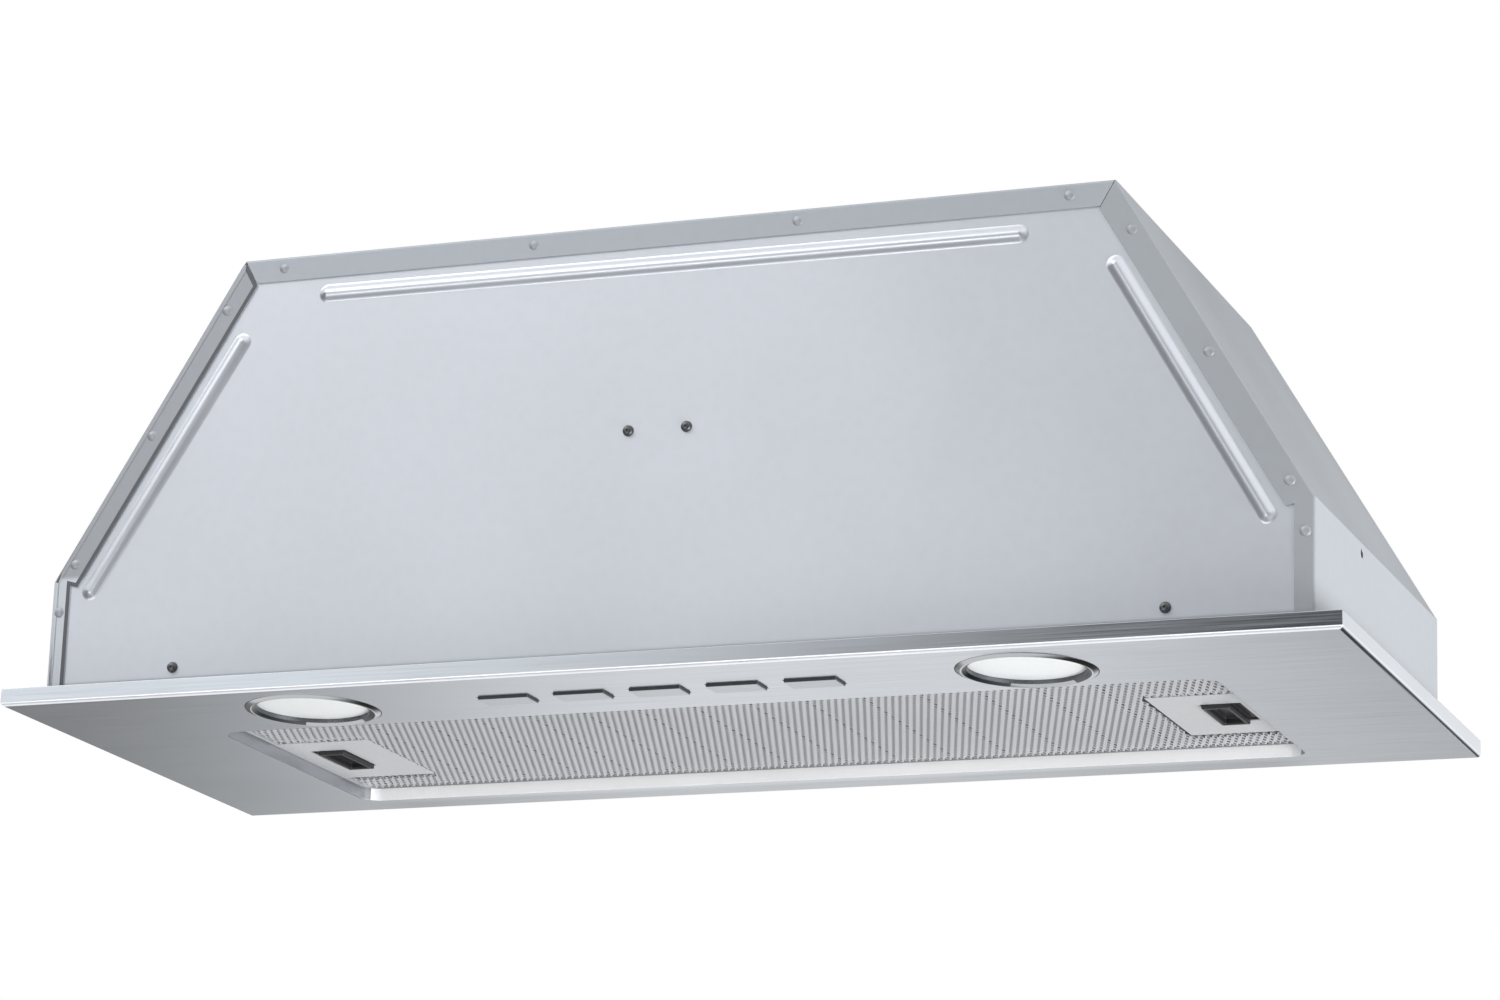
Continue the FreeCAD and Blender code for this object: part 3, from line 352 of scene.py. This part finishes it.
def turned_heads(node, profile, slot):
    """Round fastener heads, one at each loose part of a CAD node."""
    points, faces = [], []
    for low, high in island_boxes(node):
        centre = (low + high) / 2
        outward = -1 if centre.y < 0 else 1
        base = Vector((centre.x, low.y if outward > 0 else high.y, centre.z))
        start = len(points)
        points.append(base + Y * outward * profile[0][1] * MM)
        for radius, height in profile[1:]:
            for i in range(head_corners):
                turn = 2 * math.pi * i / head_corners
                offset = Vector((radius * math.cos(turn), height * outward, radius * math.sin(turn)))
                points.append(base + offset * MM)
        for i in range(head_corners):
            j = (i + 1) % head_corners
            faces.append((start, start + 1 + i, start + 1 + j)[::-outward])
            for ring in range(len(profile) - 2):
                a = start + 1 + ring * head_corners
                b = a + head_corners
                faces.append((a + i, b + i, b + j, a + j)[::-outward])
    name = node + "_round"
    heads = smooth(new_object(name, mesh_of(name, points, faces)), smooth_round)
    dress(heads, body_of(node), slot, [node])


# Shader nodes. The owner is a material or the world.


def node_in(owner, kind, **settings):
    """New shader node."""
    node = owner.node_tree.nodes.new(kind)
    for key, value in settings.items():
        setattr(node, key, value)
    return node


def noise(owner, grain, detail=3.0):
    """Noise over the object, with its grain per metre along each axis."""
    link = owner.node_tree.links.new
    place = node_in(owner, "ShaderNodeTexCoord")
    mapping = node_in(owner, "ShaderNodeMapping")
    mapping.inputs["Scale"].default_value = grain
    pattern = node_in(owner, "ShaderNodeTexNoise")
    pattern.inputs["Scale"].default_value = 1
    pattern.inputs["Detail"].default_value = detail
    link(place.outputs["Object"], mapping.inputs["Vector"])
    link(mapping.outputs["Vector"], pattern.inputs["Vector"])
    return pattern.outputs[0]


def spread(owner, value, low, high, start=0.3, end=0.7):
    """Value drawn out between two levels. The middle of a noise is used unless told otherwise."""
    ranged = node_in(owner, "ShaderNodeMapRange")
    ranged.inputs["From Min"].default_value = start
    ranged.inputs["From Max"].default_value = end
    ranged.inputs["To Min"].default_value = low
    ranged.inputs["To Max"].default_value = high
    owner.node_tree.links.new(value, ranged.inputs["Value"])
    return ranged.outputs["Result"]


def smooth_step(owner, value, low, high, start, end):
    """Smooth step between two levels while a value goes from start to end."""
    step = spread(owner, value, low, high, start, end)
    step.node.interpolation_type = "SMOOTHSTEP"
    return step


def ramp(material, axis, start, end, low, high):
    """Smooth step between two levels along one of the object's axes."""
    place = node_in(material, "ShaderNodeTexCoord")
    parts = node_in(material, "ShaderNodeSeparateXYZ")
    material.node_tree.links.new(place.outputs["Object"], parts.inputs[0])
    return smooth_step(material, parts.outputs[axis], low, high, start, end)


def combined(material, operation, first, second):
    """Sum or product of two values."""
    both = node_in(material, "ShaderNodeMath", operation=operation)
    material.node_tree.links.new(first, both.inputs[0])
    material.node_tree.links.new(second, both.inputs[1])
    return both.outputs[0]


def blended(owner, share, level, value):
    """Level that changes to a value where the share is one."""
    mix = node_in(owner, "ShaderNodeMix")
    mix.inputs[3].default_value = value
    owner.node_tree.links.new(share, mix.inputs[0])
    owner.node_tree.links.new(level, mix.inputs[2])
    return mix.outputs[0]


# Materials


def new_finish(name, colour, metallic, roughness):
    """Material and its principled shader."""
    material = bpy.data.materials.new(name)
    material.use_nodes = True
    shader = material.node_tree.nodes["Principled BSDF"]
    shader.inputs["Base Color"].default_value = (*colour, 1)
    shader.inputs["Metallic"].default_value = metallic
    shader.inputs["Roughness"].default_value = roughness
    return material, shader


def tinted(material, shader, value, dark, light):
    """Base colour that varies between two colours, on the mix node's colour sockets."""
    mix = node_in(material, "ShaderNodeMix", data_type="RGBA")
    mix.inputs[6].default_value = (*dark, 1)
    mix.inputs[7].default_value = (*light, 1)
    material.node_tree.links.new(value, mix.inputs[0])
    material.node_tree.links.new(mix.outputs[2], shader.inputs["Base Color"])


def clouded(material, shader, value, colour, tones):
    """Base colour that varies between two tones of a colour."""
    dark, light = (tuple(channel * tone for channel in colour) for tone in tones)
    tinted(material, shader, value, dark, light)


def roughened(material, shader, value, roughness, steps):
    """Roughness that varies round a level."""
    low, high = (max(roughness + step, least_roughness) for step in steps)
    rough = spread(material, value, low, high)
    material.node_tree.links.new(rough, shader.inputs["Roughness"])


def bumped(material, shader, value, strength, distance):
    """Fine relief from a value."""
    bump = node_in(material, "ShaderNodeBump")
    bump.inputs["Strength"].default_value = strength
    bump.inputs["Distance"].default_value = distance
    material.node_tree.links.new(value, bump.inputs["Height"])
    material.node_tree.links.new(bump.outputs["Normal"], shader.inputs["Normal"])


def shaded(material, factor):
    """Base colour times a factor."""
    link = material.node_tree.links.new
    socket = material.node_tree.nodes["Principled BSDF"].inputs["Base Color"]
    tone = node_in(material, "ShaderNodeVectorMath", operation="SCALE")
    link(socket.links[0].from_socket, tone.inputs[0])
    link(factor, tone.inputs["Scale"])
    link(tone.outputs[0], socket)


def brushed(name, colour, roughness, metallic=1.0, grain=(14, 1500, 1500), depth=0.012):
    """Metal with fine brush lines along one axis. Depth in millimetres."""
    material, shader = new_finish(name, colour, metallic, roughness)
    lines = noise(material, grain, detail=4)
    clouds = noise(material, brush_clouds, detail=2)
    clouded(material, shader, spread(material, clouds, 0, 1), colour, brush_tones)
    roughened(material, shader, lines, roughness, brush_rough)
    bumped(material, shader, lines, brush_relief, depth * MM)
    return material


def galvanised(name, colour, roughness, metallic):
    """Zinc coated sheet with a faint spangle."""
    material, shader = new_finish(name, colour, metallic, roughness)
    place = node_in(material, "ShaderNodeTexCoord")
    spangle = node_in(material, "ShaderNodeTexVoronoi")
    spangle.inputs["Scale"].default_value = zinc_spangle
    material.node_tree.links.new(place.outputs["Object"], spangle.inputs["Vector"])
    clouds = noise(material, zinc_clouds)
    flakes = spread(material, spangle.outputs["Distance"], 0, zinc_flakes, 0, zinc_flake_reach)
    soft = spread(material, clouds, 0, 1 - zinc_flakes)
    clouded(material, shader, combined(material, "ADD", flakes, soft), colour, zinc_tones)
    roughened(material, shader, clouds, roughness, zinc_rough)
    bumped(material, shader, noise(material, zinc_grain, detail=2), zinc_relief, zinc_depth)
    return material


def plastic(name, colour, roughness):
    """Moulded plastic with a fine grain."""
    material, shader = new_finish(name, colour, 0, roughness)
    grain = noise(material, plastic_grain, detail=2)
    clouds = noise(material, plastic_clouds)
    clouded(material, shader, spread(material, clouds, 0, 1), colour, plastic_tones)
    roughened(material, shader, grain, roughness, plastic_rough)
    bumped(material, shader, grain, plastic_relief, plastic_depth)
    return material


def glazed(name, colour, roughness, transmission):
    """Glass with a frosted face."""
    material, shader = new_finish(name, colour, 0, roughness)
    shader.inputs["Transmission Weight"].default_value = transmission
    shader.inputs["IOR"].default_value = glass_index
    frost = noise(material, frost_grain, detail=2)
    roughened(material, shader, frost, roughness, frost_rough)
    bumped(material, shader, frost, frost_relief, frost_depth)
    return material


def lit_glass(name, colour, roughness, glow):
    """Frosted glass with a faint painted glow, though the lamp is off."""
    material = glazed(name, colour, roughness, lamp_transmission)
    shader = material.node_tree.nodes["Principled BSDF"]
    shader.inputs["Emission Color"].default_value = (*colour, 1)
    shader.inputs["Emission Strength"].default_value = glow
    return material


# Name, colour and roughness of each finish, then how metallic it is, its grain and its depth,
# or the share of light that a glass lets through, or its glow
finishes = {
    "brushed_plate": brushed("brushed_plate", (0.61, 0.65, 0.70), 0.19, depth=0.006),
    # The plate's own steel again, darker, for the end walls of its opening: painted shade.
    "throat_painted_shade": brushed("throat_painted_shade", (0.34, 0.355, 0.38), 0.35, 0.7, wall_grain),
    # The plate's own steel again, near white, for the opening's other walls: painted light.
    "folded_edge_painted_light": brushed("folded_edge_painted_light", (0.96, 0.965, 0.97), 0.4, 0.1, wall_grain, 0.002),
    "galvanised": galvanised("galvanised", zinc, 0.45, 0.7),
    # The casing's zinc sheet again, darker, for the right side: painted shade.
    "galvanised_side_painted_shade": galvanised("galvanised_side_painted_shade", (0.385, 0.41, 0.44), 0.5, 0.5),
    # The zinc sheet again, darker, for the left side: painted shade, with painted light added below its
    # fold.
    "galvanised_left_painted_light_and_shade": galvanised("galvanised_left_painted_light_and_shade", (0.37, 0.39, 0.42), 0.5, 0.5),
    # The zinc sheet again, for the front and back panels, which carry painted shade.
    "galvanised_front_painted_shade": galvanised("galvanised_front_painted_shade", zinc, 0.45, 0.7),
    "galvanised_rib": galvanised("galvanised_rib", zinc, 0.36, 0.8),
    # The zinc sheet again, darker, for the top: painted shade.
    "galvanised_top_painted_shade": galvanised("galvanised_top_painted_shade", (0.42, 0.45, 0.49), 0.5, 0.5),
    "hem_shadow": galvanised("hem_shadow", (0.12, 0.125, 0.135), 0.5, 0.5),
    # The plate's own steel again, lighter, for its front bend: a painted highlight.
    "rim_bend_painted_highlight": brushed("rim_bend_painted_highlight", (0.86, 0.88, 0.92), 0.3, 0.6, (20, 60, 60), 0.001),
    "aluminium": brushed("aluminium", (0.66, 0.675, 0.69), 0.35),
    "filter_aluminium": brushed("filter_aluminium", (0.44, 0.45, 0.47), 0.5, 0.4, satin_grain),
    "latch_metal": brushed("latch_metal", (0.48, 0.49, 0.505), 0.45, 0.4, satin_grain),
    # A darker copy of the filter's aluminium for the pad: painted shade behind the mesh.
    "filter_pad_painted_shade": brushed("filter_pad_painted_shade", (0.2, 0.205, 0.215), 0.6, 0.4, satin_grain),
    "fastener_steel": brushed("fastener_steel", (0.13, 0.135, 0.14), 0.4, grain=satin_grain),
    "rivet_steel": brushed("rivet_steel", (0.4, 0.42, 0.45), 0.5, 0.6, satin_grain),
    "shaft_steel": brushed("shaft_steel", (0.6, 0.61, 0.63), 0.25, grain=(1500, 60, 60)),
    "motor_paint": plastic("motor_paint", (0.1, 0.1, 0.11), 0.45),
    "black_plastic": plastic("black_plastic", (0.035, 0.035, 0.04), 0.5),
    "latch_plastic": plastic("latch_plastic", (0.012, 0.012, 0.014), 0.38),
    "grey_plastic": plastic("grey_plastic", (0.32, 0.33, 0.35), 0.5),
    "white_plastic": plastic("white_plastic", (0.82, 0.82, 0.8), 0.45),
    "button_metal": brushed("button_metal", (0.66, 0.69, 0.73), 0.3),
    "bezel_chrome": brushed("bezel_chrome", (0.62, 0.63, 0.65), 0.14, 1.0, polish_grain, 0.0005),
    # A dark copy of the ring's chrome: painted shade in the ring's wall and at the ends of its ridge.
    "bezel_painted_shade": brushed("bezel_painted_shade", (0.13, 0.14, 0.15), 0.3, 1.0, polish_grain, 0.0005),
    # The lamp glass's faint glow is painted light: the lamp is off.
    "lamp_glass": lit_glass("lamp_glass", (0.8, 0.82, 0.83), 0.35, 0.02),
    "bulb_glass": glazed("bulb_glass", (0.95, 0.95, 0.92), 0.08, 0.8),
    "reflector": brushed("reflector", (0.86, 0.87, 0.88), 0.15, grain=(120, 120, 120)),
    "ceramic": plastic("ceramic", (0.88, 0.86, 0.8), 0.6),
}


def shade_sheets():
    """Painted shade and light on the plate, the panels and the left side."""
    half_x, back_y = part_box("filter_tray")[1].xy
    plate_low, panel_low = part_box("bottom_plate")[0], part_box("front_panel")[0]
    foot_z = plate_low.z + rim_height + (panel_low.y - plate_low.y) * sight_slope
    bend_z = cad_box_low.z + fold_height
    plate, panel, left = (finishes[n] for n in ("brushed_plate", "galvanised_front_painted_shade", "galvanised_left_painted_light_and_shade"))
    # Painted shade: the plate is darker in its margin behind the filter and fades out at both ends,
    # standing in for a darker reflection.
    behind = ramp(plate, "Y", back_y, back_y + back_fade, 0, 1)
    for side in (-1, 1):
        start, end = side * (half_x + back_end_out), side * (half_x - back_end_in)
        behind = combined(plate, "MULTIPLY", behind, ramp(plate, "X", start, end, 0, 1))
    shaded(plate, spread(plate, behind, 1, back_painted_shade, 0, 1))
    # Painted shadow: the panels are darker at their foot, just above the plate's rim.
    shaded(panel, ramp(panel, "Z", foot_z, foot_z + foot_fade, foot_painted_shadow, 1))
    # Painted shade: the panels are darker towards the right, for light that falls off across them.
    shaded(panel, ramp(panel, "X", right_start, right_end, 1, right_painted_shade))
    # Painted light: the left side is lighter below its fold.
    shaded(left, ramp(left, "Z", bend_z, bend_z + wall_fade, wall_painted_light, 1))


def finish_cad_nodes():
    """The CAD nodes' own finishes."""
    for name, node in frame["nodes"].items():
        node.material_slots[0].material = finishes[slot_of(name)]


# Casing


def flattened(node, outer_y, outward):
    """CAD panel's mesh with its pressed ribs laid back into the sheet."""
    low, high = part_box(node)
    inner_y = high.y if outward < 0 else low.y
    edit = welded(node)
    for vert in edit.verts:
        if min(abs(vert.co.y - outer_y), abs(vert.co.y - inner_y)) > touching:
            facing = sum((face.normal for face in vert.link_faces), Vector()).y * outward
            vert.co.y = outer_y if facing > 0 else inner_y
    bmesh.ops.dissolve_degenerate(edit, dist=touching, edges=edit.edges)
    merge_flat(edit)
    return edit


def rib_ends(node, outward):
    """Ends of the middle lines of a CAD panel's ribs, read from their crowns."""
    crown_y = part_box(node)[0 if outward < 0 else 1].y
    edit = welded(node)
    crowns = [v.co.copy() for v in edit.verts if abs(v.co.y - crown_y) < 10 * touching]
    edit.free()
    level = max(p.z for p in crowns)
    top = [p for p in crowns if abs(p.z - level) < rib_level]
    slanted = [[p for p in crowns if p not in top and p.x * side > 0] for side in (-1, 1)]
    return [max(((a, b) for a in group for b in group), key=lambda ends: (ends[0] - ends[1]).length)
            for group in (top, *slanted)]


def rib_patch(start, end, outer_y, outward):
    """Rings of one pressed rib that runs out into the sheet on all sides."""
    along = (end - start).normalized()
    across = along.cross(Y)
    turns = [math.pi / 2 + math.pi * i / rib_turns for i in range(rib_turns + 1)]
    spokes = [(start, a) for a in turns] + [(end, a + math.pi) for a in turns]
    rings = []
    for step in range(rib_steps + 1):
        share = step / rib_steps
        radius = rib_foot * (1 - (1 - rib_crown_share) * share)
        rise = rib_rise * (0.5 - 0.5 * math.cos(math.pi * share)) ** rib_fullness + touching
        level = Y * (outer_y + outward * rise)
        rings.append([Vector((c.x, 0, c.z)) + (along * math.cos(a) + across * math.sin(a)) * radius
                      + level for c, a in spokes])
    return rings


def ringed_mesh(name, ring_sets):
    """Mesh through sets of rings, each closed by its last ring."""
    points, faces = [], []
    for rings in ring_sets:
        count = len(rings[0])
        for k, ring in enumerate(rings):
            first = len(points)
            points += ring
            if k:
                for i in range(count):
                    a, b = first + i, first + (i + 1) % count
                    faces.append((a - count, b - count, b, a))
        faces.append(tuple(first + i for i in range(count)))
    mesh = mesh_of(name, points, faces)
    edit = bmesh.new()
    edit.from_mesh(mesh)
    bmesh.ops.remove_doubles(edit, verts=edit.verts, dist=touching / 10)
    bmesh.ops.recalc_face_normals(edit, faces=edit.faces)
    edit.to_mesh(mesh)
    edit.free()
    return mesh


def add_panel(node, outward):
    """Front or back panel with softly pressed ribs."""
    low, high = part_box(node)
    outer_y = high.y - casing_sheet if outward < 0 else low.y + casing_sheet
    rings = [rib_patch(start, end, outer_y, outward) for start, end in rib_ends(node, outward)]
    rounded_copy(node, flattened(node, outer_y, outward), slot="galvanised_front_painted_shade")
    ribs = new_object(node + "_ribs", ringed_mesh(node + "_ribs", rings))
    dress(smooth(ribs, smooth_round), body_of(node), "galvanised_rib")


def add_plate():
    """Cover plate, with painted shade on the end walls of its opening, painted light on its other walls
    and a painted highlight on its front bend.
    """
    low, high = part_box("filter_tray")
    plate_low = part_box("bottom_plate")[0]
    edit = welded("bottom_plate")
    for face in edit.faces:
        centre = face.calc_center_median()
        inside = (abs(centre.x) < high.x + opening_margin
                  and low.y - opening_margin < centre.y < high.y + opening_margin)
        bend = (max(face.normal.y, face.normal.z) < -bend_slope
                and centre.y < plate_low.y + bend_margin)
        # The opening's end walls get a dark copy of the plate's steel and its other walls a near-white
        # one: painted shade and painted light.
        if inside and centre.z > plate_low.z + opening_low:
            face.material_index = 2 if abs(face.normal.x) > opening_end else 1
        else:
            # The front bend gets a light copy of the plate's steel: a painted highlight.
            face.material_index = 3 if bend else 0
    rounded_copy("bottom_plate", edit, others=["folded_edge_painted_light", "throat_painted_shade", "rim_bend_painted_highlight"])


def add_left_side():
    """Left side panel, with a painted shadow on the hem of its front flange."""
    node = "left_side_panel"
    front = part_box(node)[0].y
    edit = welded(node)
    flanges = [f for f in edit.faces if f.normal.y < -flange_facing
               and abs(f.calc_center_median().y - front) < touching]
    inset = bmesh.ops.inset_region(edit, faces=flanges, thickness=hem, use_even_offset=True)
    for face in inset["faces"]:
        edge = max(face.edges, key=lambda e: sum(abs(f.normal.y) < flange_edge for f in e.link_faces))
        middle = (edge.verts[0].co + edge.verts[1].co) / 2
        outward = (middle - face.calc_center_median()).normalized()
        # The inner strip of the hem gets a dark finish: a painted shadow.
        face.material_index = 1 if outward.x > hem_facing and outward.z < hem_facing else 0
    rounded_copy(node, edit, slot="galvanised_left_painted_light_and_shade", others=["hem_shadow"])


# Filter


def lattice(name, low, high, level, windows, lean, share, pitch):
    """Sheet of expanded metal between two corners, with windows left open and toothed edges."""
    columns = round((high.x - low.x) / cell_width / pitch)
    rows = round((high.y - low.y) / cell_depth / pitch)
    half_x = (high.x - low.x) / columns / 2
    half_y = (high.y - low.y) / rows / 2
    i, j = np.meshgrid(np.arange(1, 2 * columns), np.arange(1, 2 * rows), indexing="ij")
    odd = (i + j) % 2 == 1
    i, j = i[odd], j[odd]
    x, y = low.x + i * half_x, low.y + j * half_y
    open_cells = np.zeros(len(i), bool)
    for start, end in windows:
        open_cells |= (x > start.x) & (x < end.x) & (y > start.y) & (y < end.y)
    i, j = i[~open_cells], j[~open_cells]
    steps = ((-1, 0), (0, -1), (1, 0), (0, 1))
    stride = 2 * rows + 1
    corner = np.stack([(i + a) * stride + j + b for a, b in steps], 1)
    used, outer = np.unique(corner, return_inverse=True)
    outer = outer.reshape(corner.shape)
    outer_points = np.stack([low.x + used // stride * half_x, low.y + used % stride * half_y,
                             np.full(len(used), level)], 1)
    hole = 1 - share
    inner_points = np.stack([np.stack([low.x + (i + a * hole) * half_x,
                                       low.y + (j + b * hole) * half_y,
                                       np.full(len(i), level - b * lean)], 1)
                             for a, b in steps], 1)
    inner = len(used) + np.arange(len(i) * 4).reshape(-1, 4)
    faces = np.concatenate([np.stack([outer[:, k], outer[:, n], inner[:, n], inner[:, k]], 1)
                            for k, n in enumerate((1, 2, 3, 0))])
    return mesh_of(name, np.concatenate([outer_points, inner_points.reshape(-1, 3)]), faces)


def add_filter():
    """Grease filter: its walls, the mesh on its face and the layer behind."""
    low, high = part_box("filter_tray")
    plates = [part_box("latch_plate_" + side) for side in ("left", "right")]
    sheet = plates[0][0].z - low.z
    front, seam = Vector((window_gap, window_front_gap, 0)), Vector((window_gap, window_gap, 0))
    windows = [(corner - front, opposite + seam) for corner, opposite in plates]
    edit = welded("filter_tray")
    floor = [f for f in edit.faces if f.calc_center_median().z < low.z + sheet + touching
             and abs(f.calc_center_median().x) < high.x - 2 * sheet
             and low.y + 2 * sheet < f.calc_center_median().y < high.y - 2 * sheet]
    bmesh.ops.delete(edit, geom=floor, context="FACES")
    rounded_copy("filter_tray", edit, width=tray_round)
    inside = Vector((sheet, sheet / 2, 0)) + X * window_gap
    shift = Vector((cell_width / 4, cell_depth / 4, 0))
    layers = (("filter_face", inside, sheet / 2, strand_lean, strand_share, 1),
              ("filter_layer", inside + shift, 2 * sheet, -strand_lean, layer_share, layer_pitch))
    for name, margin, rise, *weave in layers:
        mesh = lattice(name, low + margin, high - margin, low.z + rise, windows, *weave)
        dress(smooth(new_object(name, mesh), smooth_mesh), "filter", "filter_aluminium")


def add_latches():
    """Latch plates set into the mesh, their pulls and slides."""
    for side in ("left", "right"):
        rounded_copy("latch_plate_" + side, width=latch_plate_round, slot="latch_metal")
        rounded_copy("latch_" + side, width=latch_round, segments=3)


# Lamps


def turned(name, profile, centres, corners):
    """Piece turned about upright lines, from a closed outline of (radius, height)."""
    edit = bmesh.new()
    turns = [2 * math.pi * i / corners for i in range(corners)]
    for centre in centres:
        rings = [[edit.verts.new(centre + Vector((radius * math.cos(a), radius * math.sin(a), height)))
                  for a in turns] for radius, height in profile]
        for ring, following in zip(rings, rings[1:] + rings[:1]):
            for i in range(corners):
                j = (i + 1) % corners
                edit.faces.new((ring[i], ring[j], following[j], following[i]))
    bmesh.ops.remove_doubles(edit, verts=edit.verts, dist=touching)
    bmesh.ops.dissolve_degenerate(edit, dist=touching, edges=edit.edges)
    bmesh.ops.recalc_face_normals(edit, faces=edit.faces)
    mesh = bpy.data.meshes.new(name)
    edit.to_mesh(mesh)
    edit.free()
    return smooth(new_object(name, mesh), smooth_lamp)


def lamp_feet():
    """Centre of each lamp dish on the plane of its rim, and the dish's radius."""
    boxes = island_boxes("lamp_bezels")
    radius = (boxes[0][1].x - boxes[0][0].x) / 2
    return [Vector(((a.x + b.x) / 2, (a.y + b.y) / 2, a.z)) for a, b in boxes], radius


def add_lamp_rings(feet, radius, base, height, seat):
    """Lamp rings with a ridged lip, with painted shade up to the glass and on the ridge's inner slope
    at the ends.
    """
    mouth, crest = radius - lamp_lip, radius - lamp_lip / 2
    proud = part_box("bottom_plate")[0].z - base
    blunt = lip_round * proud / lamp_lip
    profile = [(mouth, proud), (crest - lip_round, blunt), (crest, 0), (crest + lip_round, blunt),
               (radius, proud), (radius, height), (mouth - ring_ledge, height),
               (mouth - ring_ledge, height - ring_wall), (radius - ring_wall, height - ring_wall),
               (radius - ring_wall, seat), (mouth, seat)]
    rings = turned("lamp_rings", profile, feet, ring_corners)
    for face in rings.data.polygons:
        across = min(((face.center - foot).xy for foot in feet), key=lambda offset: offset.length)
        in_wall = across.length < mouth + dark_margin and face.center.z < base + seat - touching
        at_ends = abs(face.normal.x) > dark_slope and across.dot(face.normal.xy) < 0
        # Faces in the wall up to the glass and on the ridge's inner slope at the ends get the dark
        # copy: painted shade.
        face.material_index = 1 if in_wall or at_ends else 0
    dress(rings, "casing", "bezel_chrome", ["lamp_bezels"], ["bezel_painted_shade"])


def add_lamps():
    """Lamp rings and their crowned glasses, which sit nearer the lip than the CAD's."""
    feet, radius = lamp_feet()
    base, top = (corner.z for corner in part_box("lamp_bezels"))
    seat, glass_top = (corner.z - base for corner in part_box("lamp_glasses"))
    add_lamp_rings(feet, radius, base, top - base, seat)
    inner, outer, face = radius - lamp_lip - glass_gap, radius - glass_margin, seat - glass_fill
    crown = [(reach * MM, face - rise * MM) for reach, rise in glass_crown]
    crown += [(inner, face), (inner, seat), (outer, seat), (outer, glass_top), (0, glass_top)]
    glasses = turned("lamp_glasses_crowned", crown, feet, glass_corners)
    dress(glasses, "casing", "lamp_glass", ["lamp_glasses"])


# Buttons


def add_buttons():
    """Push buttons with a metal face on a dark body."""
    for number in range(1, button_count + 1):
        node = "button_" + str(number)
        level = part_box(node)[0].z
        edit = welded(node)
        for face in edit.faces:
            face.material_index = 0 if face.calc_center_median().z < level + touching else 1
        rounded_copy(node, edit, width=button_round, segments=3, others=["black_plastic"])


# Studio


def add_camera():
    """Camera at the photograph's angle."""
    data = bpy.data.cameras.new("camera")
    data.lens = camera_lens
    data.sensor_width = camera_sensor
    data.clip_end = camera_reach
    camera = bpy.data.objects.new("camera", data)
    bpy.context.scene.collection.objects.link(camera)
    forward, up = Vector(camera_forward).normalized(), Vector(camera_up)
    right = forward.cross(up).normalized()
    up = right.cross(forward)
    turn = camera.matrix_world.to_3x3()
    turn.col[0], turn.col[1], turn.col[2] = right, up, -forward
    camera.matrix_world = turn.to_4x4()
    camera.location = camera_place
    bpy.context.scene.camera = camera


def add_floor():
    """Pale floor well below the hood."""
    level = cad_box_low.z - floor_drop
    corners = [(x * floor_half, y * floor_half, level) for x, y in ((-1, -1), (1, -1), (1, 1), (-1, 1))]
    floor = new_object("floor", mesh_of("floor", corners, [(0, 1, 2, 3)]))
    material, shader = new_finish("floor", floor_colour, 0, floor_roughness)
    tinted(material, shader, spread(material, noise(material, floor_grain), 0, 1), *floor_tones)
    floor.data.materials.append(material)
    floor.visible_glossy = False


def spot_share(world, direction, inner, outer):
    """Share that falls from one to nothing between two angles round a direction."""
    place = node_in(world, "ShaderNodeTexCoord")
    dot = node_in(world, "ShaderNodeVectorMath", operation="DOT_PRODUCT")
    dot.inputs[1].default_value = Vector(direction).normalized()
    world.node_tree.links.new(place.outputs["Generated"], dot.inputs[0])
    start, end = (math.cos(math.radians(angle)) for angle in (outer, inner))
    return smooth_step(world, dot.outputs["Value"], 0, 1, start, end)


def add_world():
    """White backdrop, with softly lit and shaded directions for light and reflections."""
    world = bpy.data.worlds.new("studio")
    bpy.context.scene.world = world
    world.use_nodes = True
    background = world.node_tree.nodes["Background"]
    level = node_in(world, "ShaderNodeValue").outputs[0]
    level.default_value = world_level
    for direction, inner, outer, value in world_spots:
        level = blended(world, spot_share(world, direction, inner, outer), level, value)
    path = node_in(world, "ShaderNodeLightPath")
    seen = blended(world, path.outputs["Is Camera Ray"], level, 1)
    world.node_tree.links.new(seen, background.inputs["Strength"])
    background.inputs["Color"].default_value = (1, 1, 1, 1)


def light_area(name, place, target, size, power):
    """Soft rectangular light that faces a point."""
    data = bpy.data.lights.new(name, "AREA")
    data.shape = "RECTANGLE"
    data.size, data.size_y = size
    data.energy = power
    lamp = bpy.data.objects.new(name, data)
    bpy.context.scene.collection.objects.link(lamp)
    lamp.location = place
    lamp.rotation_euler = (Vector(target) - Vector(place)).to_track_quat("-Z", "Y").to_euler()


finish_cad_nodes()
shade_sheets()
add_left_side()
rounded_copy("right_side_panel", slot="galvanised_side_painted_shade")
rounded_copy("top_panel", slot="galvanised_top_painted_shade")
add_plate()
add_panel("front_panel", -1)
add_panel("back_panel", 1)
for fastener in fasteners:
    turned_heads(*fastener)
add_filter()
add_latches()
add_lamps()
add_buttons()
# The pad behind the mesh gets darker aluminium: painted shade.
rounded_copy("filter_pad", slot="filter_pad_painted_shade")
for node in plain_nodes:
    rounded_copy(node)
add_camera()
add_floor()
add_world()
for light in area_lights:
    light_area(*light)

bpy.context.scene.view_settings.view_transform = "Standard"
